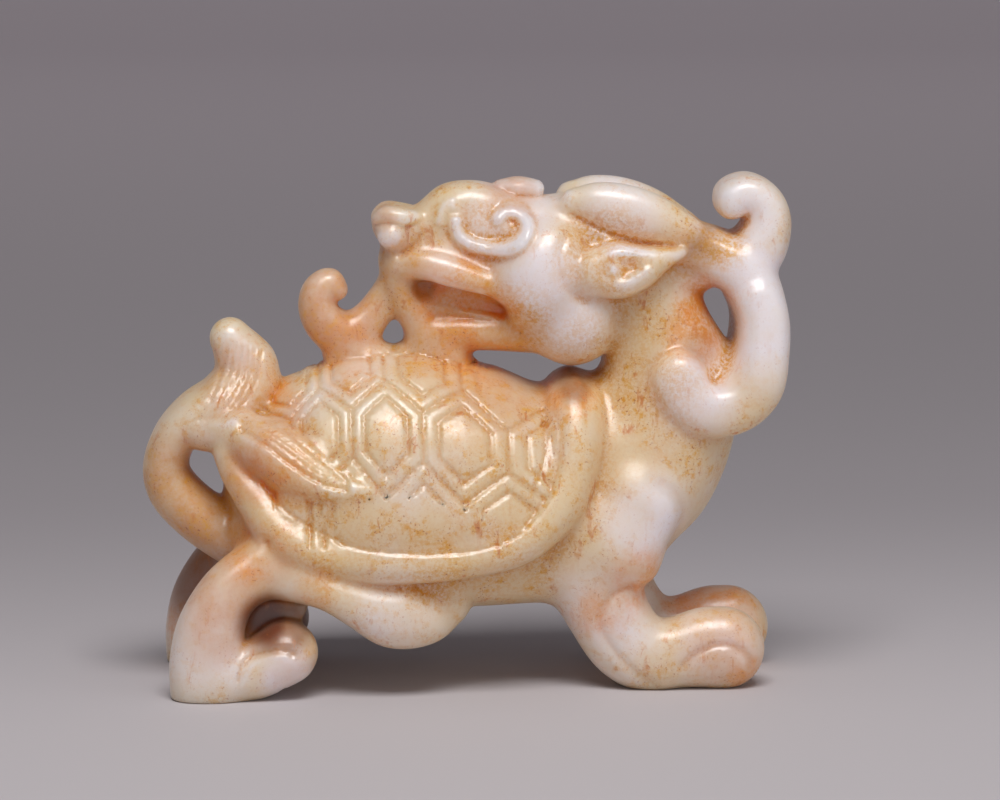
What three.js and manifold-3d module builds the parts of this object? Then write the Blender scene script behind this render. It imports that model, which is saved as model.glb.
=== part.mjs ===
// Jade dragon turtle: one carving cut from one pebble. A turtle's body stands on four bent legs,
// its neck bends back, and a dragon's head looks over the shell towards the tail.
//
// Millimetres. X runs along the body, the chest is at +X and the tail at -X. Y runs across, the side
// that is seen first is at -Y. Z is up, and the soles stand on z = 0.
//
// The form is a field of signed distances, negative inside the stone. Limbs, balls and tubes are
// joined into it softly, lines are pressed into its skin, and the skin is drawn as triangles, evened
// out, thinned, and cut flat under the feet.
import * as THREE from 'three';
import Module from 'manifold-3d';

const wasm = await Module();
wasm.setup();

// Driving dimensions
const GRID = 0.5; // spacing of the field's points
const REACH = 3; // distances are kept up to this far from the skin
const ROUNDING = 0.38; // how softly the joins are rounded
const TRIANGLES = 9750; // what the skin is thinned to
const BOUNDS = { low: [-34, -16, -1.5], high: [34, 16, 53] };

const SHELL = { centre: [-7.1, 0, 20], radii: [17.5, 12.6, 13.5] };
// plates: pitch along, row height, upright side, width of the border where they swell, line's width
// and depth, where the rows start from the ridge, where a column stands, how much rows fall, and the
// last place along the shell where its section still shrinks
const SCUTE = { pitch: 7.5, row: 8.75, side: 5, swell: 1.5, line: 0.6, depth: 0.5, ridgeRow: 5.9,
  centreX: -5.1, tilt: 0.1, front: 2.5 };
const REAR = { far: -0.6, y: -9.6 }; // how far back the far rear leg stands, and the near foot's middle
const FORE = { far: 1.6, y: -6 }; // the same for the front legs
const BRUSH = 0.5; // the finest line that the skin can carry
const EVENING = 6; // how many times the skin's points are evened out
const MIDDLE_PULL = 0.01; // how much a folded edge's point is drawn to its middle
const FOLD_REACH = 0.8; // how far it may lie from there, by the edge's length
const SLIVER = 0.1; // height of the thinnest good triangle, by its longest side

const NEAR = -1;
const FAR = 1;
const SIDES = [NEAR, FAR];

const clamp = (v, low, high) => Math.min(Math.max(v, low), high);
const radians = (degrees) => degrees * Math.PI / 180;

function smoothStep(from, to, v) {
  const t = clamp((v - from) / (to - from), 0, 1);
  return t * t * (3 - 2 * t);
}

// The lower of two distances, with a fillet of about k between them
function softMin(a, b, k) {
  const h = Math.max(k - Math.abs(a - b), 0) / k;
  return Math.min(a, b) - h * h * k / 4;
}

// A smooth curve through rows of numbers; every column is carried along it
function spline(rows, steps = 10) {
  const mirror = (a, b) => a.map((v, i) => 2 * v - b[i]);
  const p = [mirror(rows[0], rows[1]), ...rows, mirror(rows.at(-1), rows.at(-2))];
  const out = [];
  for (let i = 1; i < p.length - 2; i += 1) {
    for (let s = 0; s < steps; s += 1) {
      const t = s / steps;
      out.push(p[i].map((b, n) => {
        const [a, c, e] = [p[i - 1][n], p[i + 1][n], p[i + 2][n]];
        return 0.5 * (2 * b + (c - a) * t + (2 * a - 5 * b + 4 * c - e) * t * t
          + (3 * b - a - 3 * c + e) * t * t * t);
      }));
    }
  }
  out.push(rows.at(-1));
  return out;
}

// Rows on a spiral in the side view: radius and angle run from first to last, and so does the
// thickness; the rest of each row is the same all along
function curl({ x, z, radius, angle, thick, points, rest = [] }) {
  return Array.from({ length: points }, (_, i) => {
    const t = i / (points - 1);
    const mix = ([from, to]) => from + (to - from) * t;
    const a = radians(mix(angle));
    return [x + mix(radius) * Math.cos(a), z + mix(radius) * Math.sin(a), mix(thick), ...rest];
  });
}

// The nearest point of a path to a point, both given in their first dims columns: its distance, the
// path's further columns there, and how far along the path it lies
function nearest(point, path, dims) {
  let best = { squared: Infinity };
  let run = 0;
  for (let i = 0; i + 1 < path.length; i += 1) {
    const [p, q] = [path[i], path[i + 1]];
    let dot = 0;
    let length = 1e-12;
    for (let n = 0; n < dims; n += 1) {
      dot += (point[n] - p[n]) * (q[n] - p[n]);
      length += (q[n] - p[n]) ** 2;
    }
    const t = clamp(dot / length, 0, 1);
    let squared = 0;
    for (let n = 0; n < dims; n += 1) squared += (point[n] - p[n] - t * (q[n] - p[n])) ** 2;
    if (squared < best.squared) best = { squared, p, q, t, along: run + t * Math.sqrt(length) };
    run += Math.sqrt(length);
  }
  const { p, q, t } = best;
  const rest = p.slice(dims).map((v, n) => v + t * (q[dims + n] - v));
  return { rho: Math.sqrt(best.squared), rest, along: best.along, total: run };
}

class Field {
  constructor({ low, high }, step) {
    this.low = low;
    this.step = step;
    this.count = low.map((v, n) => Math.round((high[n] - v) / step) + 1);
    this.d = new Float64Array(this.count[0] * this.count[1] * this.count[2]).fill(REACH);
  }

  index(i, j, k) {
    return (i * this.count[1] + j) * this.count[2] + k;
  }

  at(axis, i) {
    return this.low[axis] + i * this.step;
  }

  // First and last grid number of a stretch from a to b
  range(axis, a, b) {
    const first = Math.floor((a - this.low[axis]) / this.step);
    const last = Math.ceil((b - this.low[axis]) / this.step);
    return [Math.max(first, 0), Math.min(last, this.count[axis] - 1)];
  }

  // Joins the distance function of a body that lies between low and high
  join(low, high, k, distance) {
    const [i0, i1] = this.range(0, low[0] - REACH, high[0] + REACH);
    const [j0, j1] = this.range(1, low[1] - REACH, high[1] + REACH);
    const [k0, k1] = this.range(2, low[2] - REACH, high[2] + REACH);
    for (let i = i0; i <= i1; i += 1) {
      for (let m = k0; m <= k1; m += 1) {
        const column = distance(this.at(0, i), this.at(2, m));
        for (let j = j0; j <= j1; j += 1) {
          const n = this.index(i, j, m);
          this.d[n] = softMin(this.d[n], column(this.at(1, j)), k);
        }
      }
    }
  }

  // A stroke drawn in the side view. Rows: x, z, radius there, half thickness across, y of the middle.
  // Its section is a superellipse of the given power.
  limb(rows, { k = 1.2, power = 2.3, side = NEAR, dx = 0 } = {}) {
    const path = spline(rows.map(([x, z, r, h, y = 0]) => [x + dx, z, r, h, -side * y]));
    const column = (n) => path.map((row) => row[n]);
    const reach = Math.max(...column(2));
    const across = path.map((row) => Math.abs(row[4]) + row[3]);
    const low = [Math.min(...column(0)) - reach, -Math.max(...across), Math.min(...column(1)) - reach];
    const high = [Math.max(...column(0)) + reach, Math.max(...across), Math.max(...column(1)) + reach];
    this.join(low, high, k, (x, z) => {
      const { rho, rest: [r, h, middle] } = nearest([x, z], path, 2);
      const a = Math.max(rho / r, 1e-3);
      return (y) => {
        const b = Math.max(Math.abs(y - middle) / h, 1e-3);
        const f = (a ** power + b ** power) ** (1 / power);
        const slope = f ** (1 - power) * Math.hypot(a ** (power - 1) / r, b ** (power - 1) / h);
        return (f - 1) / slope;
      };
    });
  }

  // An ellipsoid, turned about Y by tilt degrees
  ball(centre, radii, { k = 1.2, tilt = 0 } = {}) {
    const [c, s] = [Math.cos(radians(tilt)), Math.sin(radians(tilt))];
    const big = Math.max(radii[0], radii[2]);
    const low = [centre[0] - big, centre[1] - radii[1], centre[2] - big];
    const high = [centre[0] + big, centre[1] + radii[1], centre[2] + big];
    this.join(low, high, k, (x, z) => {
      const u = (x - centre[0]) * c + (z - centre[2]) * s;
      const w = (z - centre[2]) * c - (x - centre[0]) * s;
      return (y) => ellipsoidDistance([u, y - centre[1], w], radii);
    });
  }

  // A round tube along a curve in space. Rows: x, y, z, radius.
  tube(rows, { k = 0.6 } = {}) {
    const path = spline(rows, 6);
    for (let i = 0; i + 1 < path.length; i += 1) {
      const [p, q] = [path[i], path[i + 1]];
      const big = Math.max(p[3], q[3]);
      const low = [0, 1, 2].map((n) => Math.min(p[n], q[n]) - big);
      const high = [0, 1, 2].map((n) => Math.max(p[n], q[n]) + big);
      this.join(low, high, k, (x, z) => (y) => {
        const { rho, rest: [r] } = nearest([x, y, z], [p, q], 3);
        return rho - r;
      });
    }
  }

  // The distance at a point, and its slope there
  sample(point) {
    const at = point.map((v, n) => clamp((v - this.low[n]) / this.step, 0, this.count[n] - 1.001));
    const base = at.map(Math.floor);
    let value = 0;
    const slope = [0, 0, 0];
    for (let corner = 0; corner < 8; corner += 1) {
      const up = [(corner >> 2) & 1, (corner >> 1) & 1, corner & 1];
      const d = this.d[this.index(base[0] + up[0], base[1] + up[1], base[2] + up[2])];
      const share = up.map((u, axis) => (u ? at[axis] - base[axis] : 1 - at[axis] + base[axis]));
      value += d * share[0] * share[1] * share[2];
      for (let axis = 0; axis < 3; axis += 1) {
        slope[axis] += (up[axis] ? d : -d) * share[(axis + 1) % 3] * share[(axis + 2) % 3] / this.step;
      }
    }
    return { value, slope };
  }

  // Rounds every join a little by averaging neighbours
  soften(sigma) {
    const rounds = Math.max(1, Math.round(2 * (sigma / this.step) ** 2));
    const strides = [this.count[1] * this.count[2], this.count[2], 1];
    for (let round = 0; round < rounds; round += 1) {
      for (let axis = 0; axis < 3; axis += 1) {
        const old = this.d.slice();
        const s = strides[axis];
        for (let n = s; n < old.length - s; n += 1) {
          const place = Math.floor(n / s) % this.count[axis];
          if (place > 0 && place < this.count[axis] - 1) {
            this.d[n] = 0.5 * old[n] + 0.25 * (old[n - s] + old[n + s]);
          }
        }
      }
    }
  }

  // Leaves nothing of the stone on the grid's outermost points, so that its skin is closed
  close() {
    for (let n = 0; n < this.d.length; n += 1) {
      const place = [this.count[1] * this.count[2], this.count[2], 1]
        .map((stride, axis) => Math.floor(n / stride) % this.count[axis]);
      if (place.some((v, axis) => v === 0 || v === this.count[axis] - 1)) {
        this.d[n] = Math.max(this.d[n], this.step / 2);
      }
    }
  }

  // Presses a line into the skin where |y| is above from; a depth below zero raises a ridge.
  // Rows: x, z and, where it isn't 1, a width factor. A power over 2 gives it a flat floor.
  engrave(rows, { width, depth, from, sides = SIDES, dx = 0, power = 2 }) {
    const path = spline(rows.map(([x, z, factor = 1]) => [x + dx, z, factor]));
    const wide = Math.max(width, BRUSH);
    const reach = 3 * wide * Math.max(...path.map((row) => row[2]));
    const column = (n) => path.map((row) => row[n]);
    const [i0, i1] = this.range(0, Math.min(...column(0)) - reach, Math.max(...column(0)) + reach);
    const [k0, k1] = this.range(2, Math.min(...column(1)) - reach, Math.max(...column(1)) + reach);
    for (let i = i0; i <= i1; i += 1) {
      for (let m = k0; m <= k1; m += 1) {
        const { rho, rest: [factor], along, total } = nearest([this.at(0, i), this.at(2, m)], path, 2);
        const ease = smoothStep(0, 1.2 * wide, along) * smoothStep(0, 1.2 * wide, total - along);
        const press = depth * Math.exp(-((rho / (wide * factor)) ** power)) * (0.35 + 0.65 * ease);
        for (let j = 0; j < this.count[1]; j += 1) {
          const y = this.at(1, j);
          if (!sides.includes(Math.sign(y))) continue;
          this.d[this.index(i, j, m)] += press * smoothStep(from - 0.5, from + 0.5, Math.abs(y));
        }
      }
    }
  }
}

function ellipsoidDistance([x, y, z], [a, b, c]) {
  const f = Math.hypot(x / a, y / b, z / c);
  const slope = Math.hypot(x / (a * a), y / (b * b), z / (c * c));
  return (f - 1) * f / Math.max(slope, 1e-4);
}

// Shell

function addShell(field) {
  field.ball(SHELL.centre, SHELL.radii, { k: 0.01 });
  // the dome is fuller in front, and its flanks stand nearly upright down to the rim
  field.ball([0.5, 0, 20.8], [11.5, 11.8, 10.2], { k: 1.5 });
  for (const side of SIDES) {
    field.limb([[-17, 18.4, 3.6, 3.8, -7.2], [-12, 17, 4, 4.2, -8.5], [-5, 16.4, 4.2, 4.2, -8.8],
      [2, 17, 4, 4, -8.5], [5.6, 19, 3.6, 3.8, -7.2]], { k: 2.5, side });
  }
  const shell = field.d.slice();
  // collar over its front edge, and the stone between the dome and the neck, inside the rim
  field.limb([[5, 26, 2.6, 6], [8, 27, 2.6, 5.4], [10.4, 28.3, 2.5, 4.6]], { k: 1.5 });
  field.limb([[3, 21, 6.5, 7.4], [9, 21, 7, 7.6], [13, 21.5, 6.5, 7.6]], { k: 1, power: 2.5 });
  // rim: from beside the tail along the flank and up in front of the dome
  const rim = [[-22.2, 0, 22.6, 1.5], [-22.2, -4.5, 21.9, 1.6], [-21.3, -7.8, 19.3, 1.6],
    [-19.2, -9.9, 16.4, 1.6], [-15.2, -11.1, 14.4, 1.5], [-9, -11.7, 13.4, 1.4], [-2.4, -11.7, 13.6, 1.4],
    [3.8, -11, 15, 1.6], [7.6, -9.8, 17.9, 1.8], [9.4, -8.4, 21.2, 2], [10.1, -7, 25.2, 2.1],
    [10, -4.8, 28, 2.1], [10, 0, 29, 1.9]];
  for (const side of SIDES) {
    field.tube(rim.map(([x, y, z, r]) => [x, -side * y, z, r]), { k: 1 });
    field.limb([[-24.5, 23.7, 1.2, 1.8, -5.6], [-23.4, 21.7, 1.5, 2, -6.6], [-21.8, 19.4, 1.6, 2, -7.8]],
      { k: 0.5, side });
  }
  return shell;
}

// Depth of the lines between the six-sided plates. The finer line inside each plate isn't cut here.
function scuteDepth(x, z) {
  // how far down the shell's side a point is, and how far along
  const across = clamp((clamp(x, -20, SCUTE.front) - SHELL.centre[0]) / SHELL.radii[0], -1, 1);
  const height = (z - SHELL.centre[2]) / (SHELL.radii[2] * Math.sqrt(1 - across ** 2));
  const theta = Math.acos(clamp(height, -0.99, 0.99));
  const aside = x - SCUTE.centreX;
  const u = SCUTE.pitch * aside / (7.65 + 0.09 * clamp(aside, -16, 16));
  const v = theta * SHELL.radii[1] * 1.05 - SCUTE.ridgeRow - SCUTE.tilt * aside;
  const apex = SCUTE.row - SCUTE.side;
  const tilt = Math.atan2(apex, SCUTE.pitch / 2);
  let inner = -Infinity;
  let plate = 0;
  for (const shift of [-1, 0, 1]) {
    const row = Math.floor(v / SCUTE.row + 0.5) + shift;
    const half = Math.abs(row % 2) / 2;
    const cell = (Math.floor(u / SCUTE.pitch - half + 0.5) + half) * SCUTE.pitch;
    const du = Math.abs(u - cell);
    const dv = Math.abs(v - row * SCUTE.row);
    const slant = (SCUTE.row / 2 - dv) * Math.cos(tilt) + (SCUTE.pitch / 4 - du) * Math.sin(tilt);
    const here = Math.min(SCUTE.pitch / 2 - du, slant);
    if (here > inner) {
      inner = here;
      plate = row;
    }
  }
  const line = SCUTE.depth * Math.exp(-((inner / SCUTE.line) ** 2));
  const pillow = 0.14 * smoothStep(SCUTE.swell, SCUTE.pitch / 2, inner);
  // the front of the crest is plain, and the lines die away low on the flank and before the flange
  const plain = plate < 0.5 ? 1 - smoothStep(-0.5, 1.5, x) : 1;
  const fade = (1 - 0.6 * smoothStep(1.6, 2, theta)) * (1 - smoothStep(7, 8.4, x));
  return fade * (line - pillow * plain);
}

function carveShell(field, shell) {
  const [i0, i1] = field.range(0, SHELL.centre[0] - SHELL.radii[0], SHELL.centre[0] + SHELL.radii[0]);
  const [m0, m1] = field.range(2, SHELL.centre[2] - SHELL.radii[2], SHELL.centre[2] + SHELL.radii[2]);
  for (let i = i0; i <= i1; i += 1) {
    for (let m = m0; m <= m1; m += 1) {
      const depth = scuteDepth(field.at(0, i), field.at(2, m));
      for (let j = 0; j < field.count[1]; j += 1) {
        const n = field.index(i, j, m);
        // only where the skin is the shell's own
        field.d[n] += depth * (1 - smoothStep(0.05, 0.5, Math.abs(shell[n] - field.d[n])));
      }
    }
  }
  // line above the rim, the edge of the flange in front with one more inside it, and the two cuts
  // across the rim
  field.engrave([[-21, 21.6], [-19.4, 19.6], [-17.4, 18], [-14.6, 16.5], [-10.9, 15.2], [-4.5, 14.7],
    [1, 15.2], [4.5, 16.6, 0.8]], { width: 0.22, depth: 0.16, from: 4 });
  field.engrave([[4.6, 17], [7.2, 20.2], [8.2, 23], [8.5, 25.8], [8, 28]],
    { width: 0.3, depth: 0.2, from: 4 });
  field.engrave([[5.6, 20.4], [6.6, 22.6], [7, 25], [6.9, 27.4]], { width: 0.24, depth: 0.18, from: 4 });
  for (const x of [-16.2, -14.8]) {
    field.engrave([[x + 0.4, 18.6], [x + 0.1, 17.2], [x - 0.1, 15.2]],
      { width: 0.28, depth: 0.3, from: 6 });
  }
}

// Body and neck

function addBody(field) {
  field.limb([[-17.5, 15, 6.8, 9.2], [-7, 14.2, 6.3, 10.3], [3, 14.2, 6.3, 10], [11, 16.5, 7.4, 8.6],
    [12.5, 23, 5.5, 6]], { k: 1, power: 3 });
  field.limb([[14.2, 15.6, 5.6, 7.6], [15.6, 17.2, 5.9, 7.8], [17.5, 20.6, 7, 8.2], [19.2, 25.4, 7.3, 7.6],
    [19.7, 30.4, 7.1, 6.6], [18.6, 35.4, 5.5, 5.8], [17, 40.2, 5, 5.4]], { k: 2.5 });
}

// Legs

function addRearLeg(field, side) {
  const place = { side, dx: side === FAR ? REAR.far : 0 };
  const y = REAR.y;
  // thigh to the knee, shin with the sole, and rolled paw
  field.limb([[-20.6, 12.4, 2.6, 3.2, y + 1.6], [-17.4, 11.6, 2.2, 3.8, y + 1],
    [-14.4, 10.6, 2, 4.2, y + 0.8], [-11.4, 9.3, 2.5, 4.3, y + 0.8], [-8.2, 8.1, 3.3, 4.3, y + 0.9],
    [-5.2, 8.2, 3.3, 3.9, y + 1.2], [-3.2, 9.4, 3, 3, y + 1.8]], { ...place, k: 0.9, power: 2.6 });
  field.limb([[-21, 12.9, 2.9, 3.4, y + 1.4], [-24.2, 10.4, 2.9, 3.3, y + 0.4], [-26, 7, 3.3, 3.4, y],
    [-26.4, 3.8, 3.7, 3.5, y], [-26.2, 0.9, 3.9, 3.6, y]], { ...place, k: 0.7, power: 2.5 });
  field.limb([[-25, 1.8, 2.4, 3.5, y], [-21.8, 2.6, 2.8, 3.6, y], [-18.9, 4.3, 3.15, 3.8, y],
    [-18.6, 4.4, 3.1, 3.8, y]], { ...place, k: 0.5 });
  // stone left in the hollow between shin and paw
  field.limb([[-22, 8, 2.2, 0.8, y + 1.8], [-18, 8.6, 1.6, 0.8, y + 1.8]],
    { ...place, k: 0.2, power: 2.6 });
}

function addFrontLeg(field, side) {
  const place = { side, dx: side === FAR ? FORE.far : 0 };
  const y = FORE.y;
  field.limb([[16.2, 18.2, 4.4, 3.8, y - 0.1], [13.8, 14.2, 5.2, 4.2, y - 0.5], [12.5, 10.6, 4.6, 3.8, y],
    [13.6, 7.2, 4.1, 3.5, y], [15.6, 4.2, 3.9, 3.4, y], [18, 2.6, 3.2, 3.4, y]], { ...place, k: 1.8 });
  field.limb([[16.8, 3.2, 3.2, 3.4, y], [20.2, 3.4, 3.5, 3.5, y], [23, 3.8, 4, 3.6, y],
    [25, 3.8, 4.1, 3.6, y]], { ...place, k: 1, power: 2.5 });
}

function carveLegs(field) {
  // shoulder
  field.engrave([[17.7, 21.1], [19.6, 20], [20.6, 18.3], [20.4, 16.2], [19, 13.6]],
    { width: 0.6, depth: 0.3, from: 2.5 });
  for (const side of SIDES) {
    const fore = { sides: [side], dx: side === FAR ? FORE.far : 0 };
    const rear = { sides: [side], dx: side === FAR ? REAR.far : 0 };
    // ankle, front toes, rear toes
    field.engrave([[16.1, 11.1], [13.7, 9.8], [12.5, 7.7], [12.8, 5.8], [14.3, 3.7], [16.2, 1.8],
      [18.1, 0.8]], { ...fore, width: 0.45, depth: 0.3, from: 5 });
    field.engrave([[20.4, 2.3], [21.5, 3.5], [23.5, 4.5], [25.6, 4.5], [27.2, 3.4], [27.5, 2.1]],
      { ...fore, width: 0.4, depth: 0.35, from: 5 });
    field.engrave([[-23.5, 1.9], [-23, 3.4], [-22, 4.5], [-20.4, 5.1], [-18.7, 5.2], [-17.6, 4.6]],
      { ...rear, width: 0.34, depth: 0.4, from: 9 });
    field.engrave([[-19, 0], [-18.9, 0.5], [-18.8, 1, 0.6]], { ...rear, width: 0.3, depth: 0.5, from: 9 });
    // pit where shin, rim and tail meet
    field.engrave([[-20.6, 16.1], [-20.2, 15.5]], { ...rear, width: 0.5, depth: 0.7, from: 6 });
  }
}

// Tail: it leaves the rump, loops up round a hole, and parts into a plume that stands up and one
// that lies on each flank

function addTail(field) {
  field.limb([[-20, 12.6, 3, 5.5], [-22.3, 13.4, 2.6, 5], [-25, 15.1, 2.7, 4.6], [-27.6, 17.1, 2.7, 4.4],
    [-29.7, 19.4, 2.6, 4.2], [-30.4, 21.8, 2.3, 4.2], [-29.4, 24.8, 2.2, 4.6], [-27.3, 26.8, 2.5, 5.2],
    [-24.6, 28.2, 2.9, 5.6], [-22.8, 29.8, 3.5, 4.6], [-22.4, 31.6, 3.3, 3.6], [-23.1, 33.2, 2.7, 3.2],
    [-23.9, 34.5, 2.1, 2.8]], { k: 1 });
  for (const side of SIDES) {
    field.limb([[-26.5, 25.6, 2, 2.4, -3.2], [-23.6, 25.7, 2.4, 3, -5], [-20.8, 24.7, 2.9, 3.6, -6.8],
      [-18.2, 23.3, 3.1, 3.6, -8.4], [-15.8, 22, 2.6, 3.2, -9.4], [-13.8, 21.3, 1.9, 2.8, -10.2],
      [-12, 21, 1.2, 2.4, -10.8], [-10.3, 20.9, 0.6, 2, -11.1]], { k: 0.6, side });
  }
}

function carveTail(field) {
  // the roll along the lower edge of the side plumes, and the strands above it
  for (const [up, depth] of [[0, 0.4], [0.9, 0.25], [1.7, 0.25], [2.5, 0.22]]) {
    field.engrave([[-23.2, 26.5 + 0.4 * up], [-20.6, 25.3 + 0.8 * up], [-18, 23.5 + up],
      [-15.2, 21.8 + 0.8 * up], [-12.4, 20.95 + 0.35 * up]], { width: 0.28, depth, from: 4 });
  }
  // strands of the upright plume
  for (const across of Array.from({ length: 6 }, (_, i) => i / 5)) {
    field.engrave([[-24.2 + 3.4 * across, 34.4 - 0.8 * across], [-24.6 + 3.2 * across, 31.9 - 1.3 * across],
      [-25.9 + 2.8 * across, 28.9 - 0.8 * across], [-27.8 + 2.8 * across, 26.8 + 0.2 * across]],
      { width: 0.24, depth: 0.2, from: 0.5 });
  }
}

// Horn: a thick slab that leaves the back of the head, curls up at its end, and runs down behind the
// neck to end in a curl on each side of it

function addHorn(field) {
  field.limb([[14.5, 44.6, 3.2, 5], [18, 44.6, 2.6, 5], [21.4, 43.9, 2.3, 5.2], [24.4, 42.7, 2.6, 5.6],
    [27, 41.2, 2.8, 6.2], [28.2, 39.2, 2.8, 6.8], [28.9, 36.7, 2.6, 7.4], [28.9, 34, 2.6, 7.6],
    [27.8, 31.2, 2.6, 7.6], [26, 29.4, 2.5, 7.4]], { k: 0.5, power: 3.4 });
  for (const side of SIDES) {
    const lower = curl({ x: 24.2, z: 31.9, radius: [4.5, 4], angle: [-8, -162], thick: [2.5, 2.7],
      points: 6, rest: [3, -5.8] });
    const sweep = [[28.4, 38.6, 2.2, 3, -4.4], [29, 36, 2.4, 3, -5]];
    const bulb = [[20.5, 31.2, 2.6, 3, -5.8]];
    field.limb([...sweep, ...lower, ...bulb], { k: 0.6, side, power: 3 });
  }
  field.limb([[26.8, 41.2, 2.4, 5.6], [28.6, 43.2, 2.8, 5.4], [29.6, 45.8, 2.4, 5], [29.2, 47.8, 2.1, 4.6],
    [27.7, 48.9, 1.9, 4.4], [26.3, 48.5, 1.9, 4.4], [26, 47.9, 1.7, 4.4]], { k: 0.5, power: 3 });
  // web to the neck, above the slot
  field.limb([[18.6, 41, 3.2, 4.4], [22.8, 40.6, 1.7, 4]], { k: 0.8 });
}

// Head

function addHead(field) {
  // mane over the neck
  field.limb([[9.5, 46.4, 2.2, 4.2], [13, 46.8, 2.3, 4.4], [17, 46.2, 2.1, 4.2], [21, 44.8, 1.7, 3.8]],
    { k: 0.7 });
  // skull, snout and nose
  field.limb([[13.5, 43.4, 4.4, 5], [9, 43.4, 5, 5.2], [4.5, 44, 4.9, 4.8], [0.6, 45, 4.4, 4.2],
    [-2.2, 45.4, 3.3, 3.6]], { power: 2.5 });
  field.limb([[3, 42.2, 3, 4.6], [-1.5, 42.8, 2.7, 4.2], [-5, 42.8, 2.7, 3.8], [-6.6, 42.6, 2.4, 3.2]],
    { k: 1, power: 2.5 });
  field.limb([[-4, 45, 2.2, 3.2], [-7.7, 45.8, 2.1, 3.3]], { k: 0.8 });
  // brow
  field.limb([[-3.6, 46.9, 1.7, 3], [-2, 48, 1.9, 3.4], [0.6, 48.2, 1.9, 3.6], [3, 47.4, 2, 3.6]],
    { k: 0.8 });
  // lower jaw, the front of the mouth with the beard that reaches the shell, and what fills the mouth
  field.limb([[10.5, 36, 3.4, 5], [6, 35.4, 2.5, 4.6], [2, 35.2, 2, 4], [-1.8, 35.2, 1.9, 3.6],
    [-4.4, 34.8, 2, 3.2]], { k: 1, power: 2.5 });
  field.limb([[-6.9, 41.8, 2.2, 3.3], [-6.9, 40.2, 1.9, 3.3], [-6.2, 38.3, 1.9, 3.2], [-5, 36, 1.8, 3.2],
    [-3.6, 33.8, 2.4, 3.4], [-2.4, 33, 2.4, 3.6]], { k: 0.6, power: 2.5 });
  field.limb([[9, 38.6, 3, 3.8], [2, 38.4, 2.4, 3.4], [-4, 38.4, 2.4, 2.6]], { k: 0.5, power: 2.5 });
  for (const side of SIDES) {
    addFace(field, side);
  }
}

// What the head has on each side
function addFace(field, side) {
  // mane lobe
  field.limb([[10.2, 48.3, 1.4, 1.6, -3.5], [12.4, 48.1, 2.2, 2.3, -3.7], [15.3, 47.4, 2.6, 2.4, -4],
    [18.4, 46.4, 2.4, 2.3, -4], [21.6, 45, 1.7, 2.1, -3.8]], { k: 0.4, side });
  // upper lip
  field.limb([[-6.9, 42, 1.3, 1.2, -2.8], [-4.8, 42, 1.5, 1.3, -3.7], [-2.4, 41.5, 1.5, 1.3, -4.2],
    [0.2, 40.7, 1.3, 1.2, -4.5], [2.4, 39.9, 1, 1, -4.7], [3.8, 38.9, 0.6, 0.9, -4.9]], { k: 0.6, side });
  // nostril, and the wing that folds over it
  field.ball([-7.9, side * 3, 44.9], [1.5, 1.5, 1.3], { k: 0.4 });
  field.limb([[-9.2, 46.5, 0.7, 1.2, -1.8], [-8.3, 47, 0.9, 1.4, -2.6], [-6.8, 46.8, 0.9, 1.3, -3],
    [-5.6, 46.9, 0.6, 1, -3]], { k: 0.5, side });
  // cheek and jowl
  field.ball([7, side * 4.3, 41], [4.8, 3.5, 5.6], { k: 1, tilt: -15 });
  field.ball([10, side * 3.4, 36.5], [4.7, 3.2, 4.5], { k: 1 });
  // ear
  field.limb([[12.4, 41.5, 2.4, 2.4, -5.3], [14.4, 41.7, 2.8, 2.5, -5.7], [16.6, 42.1, 2.2, 2.4, -5.7],
    [18.8, 42.9, 1.2, 2.2, -5.3], [20.8, 43.5, 0.5, 2, -4.8]], { k: 0.3, side, power: 2.8 });
}

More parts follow.
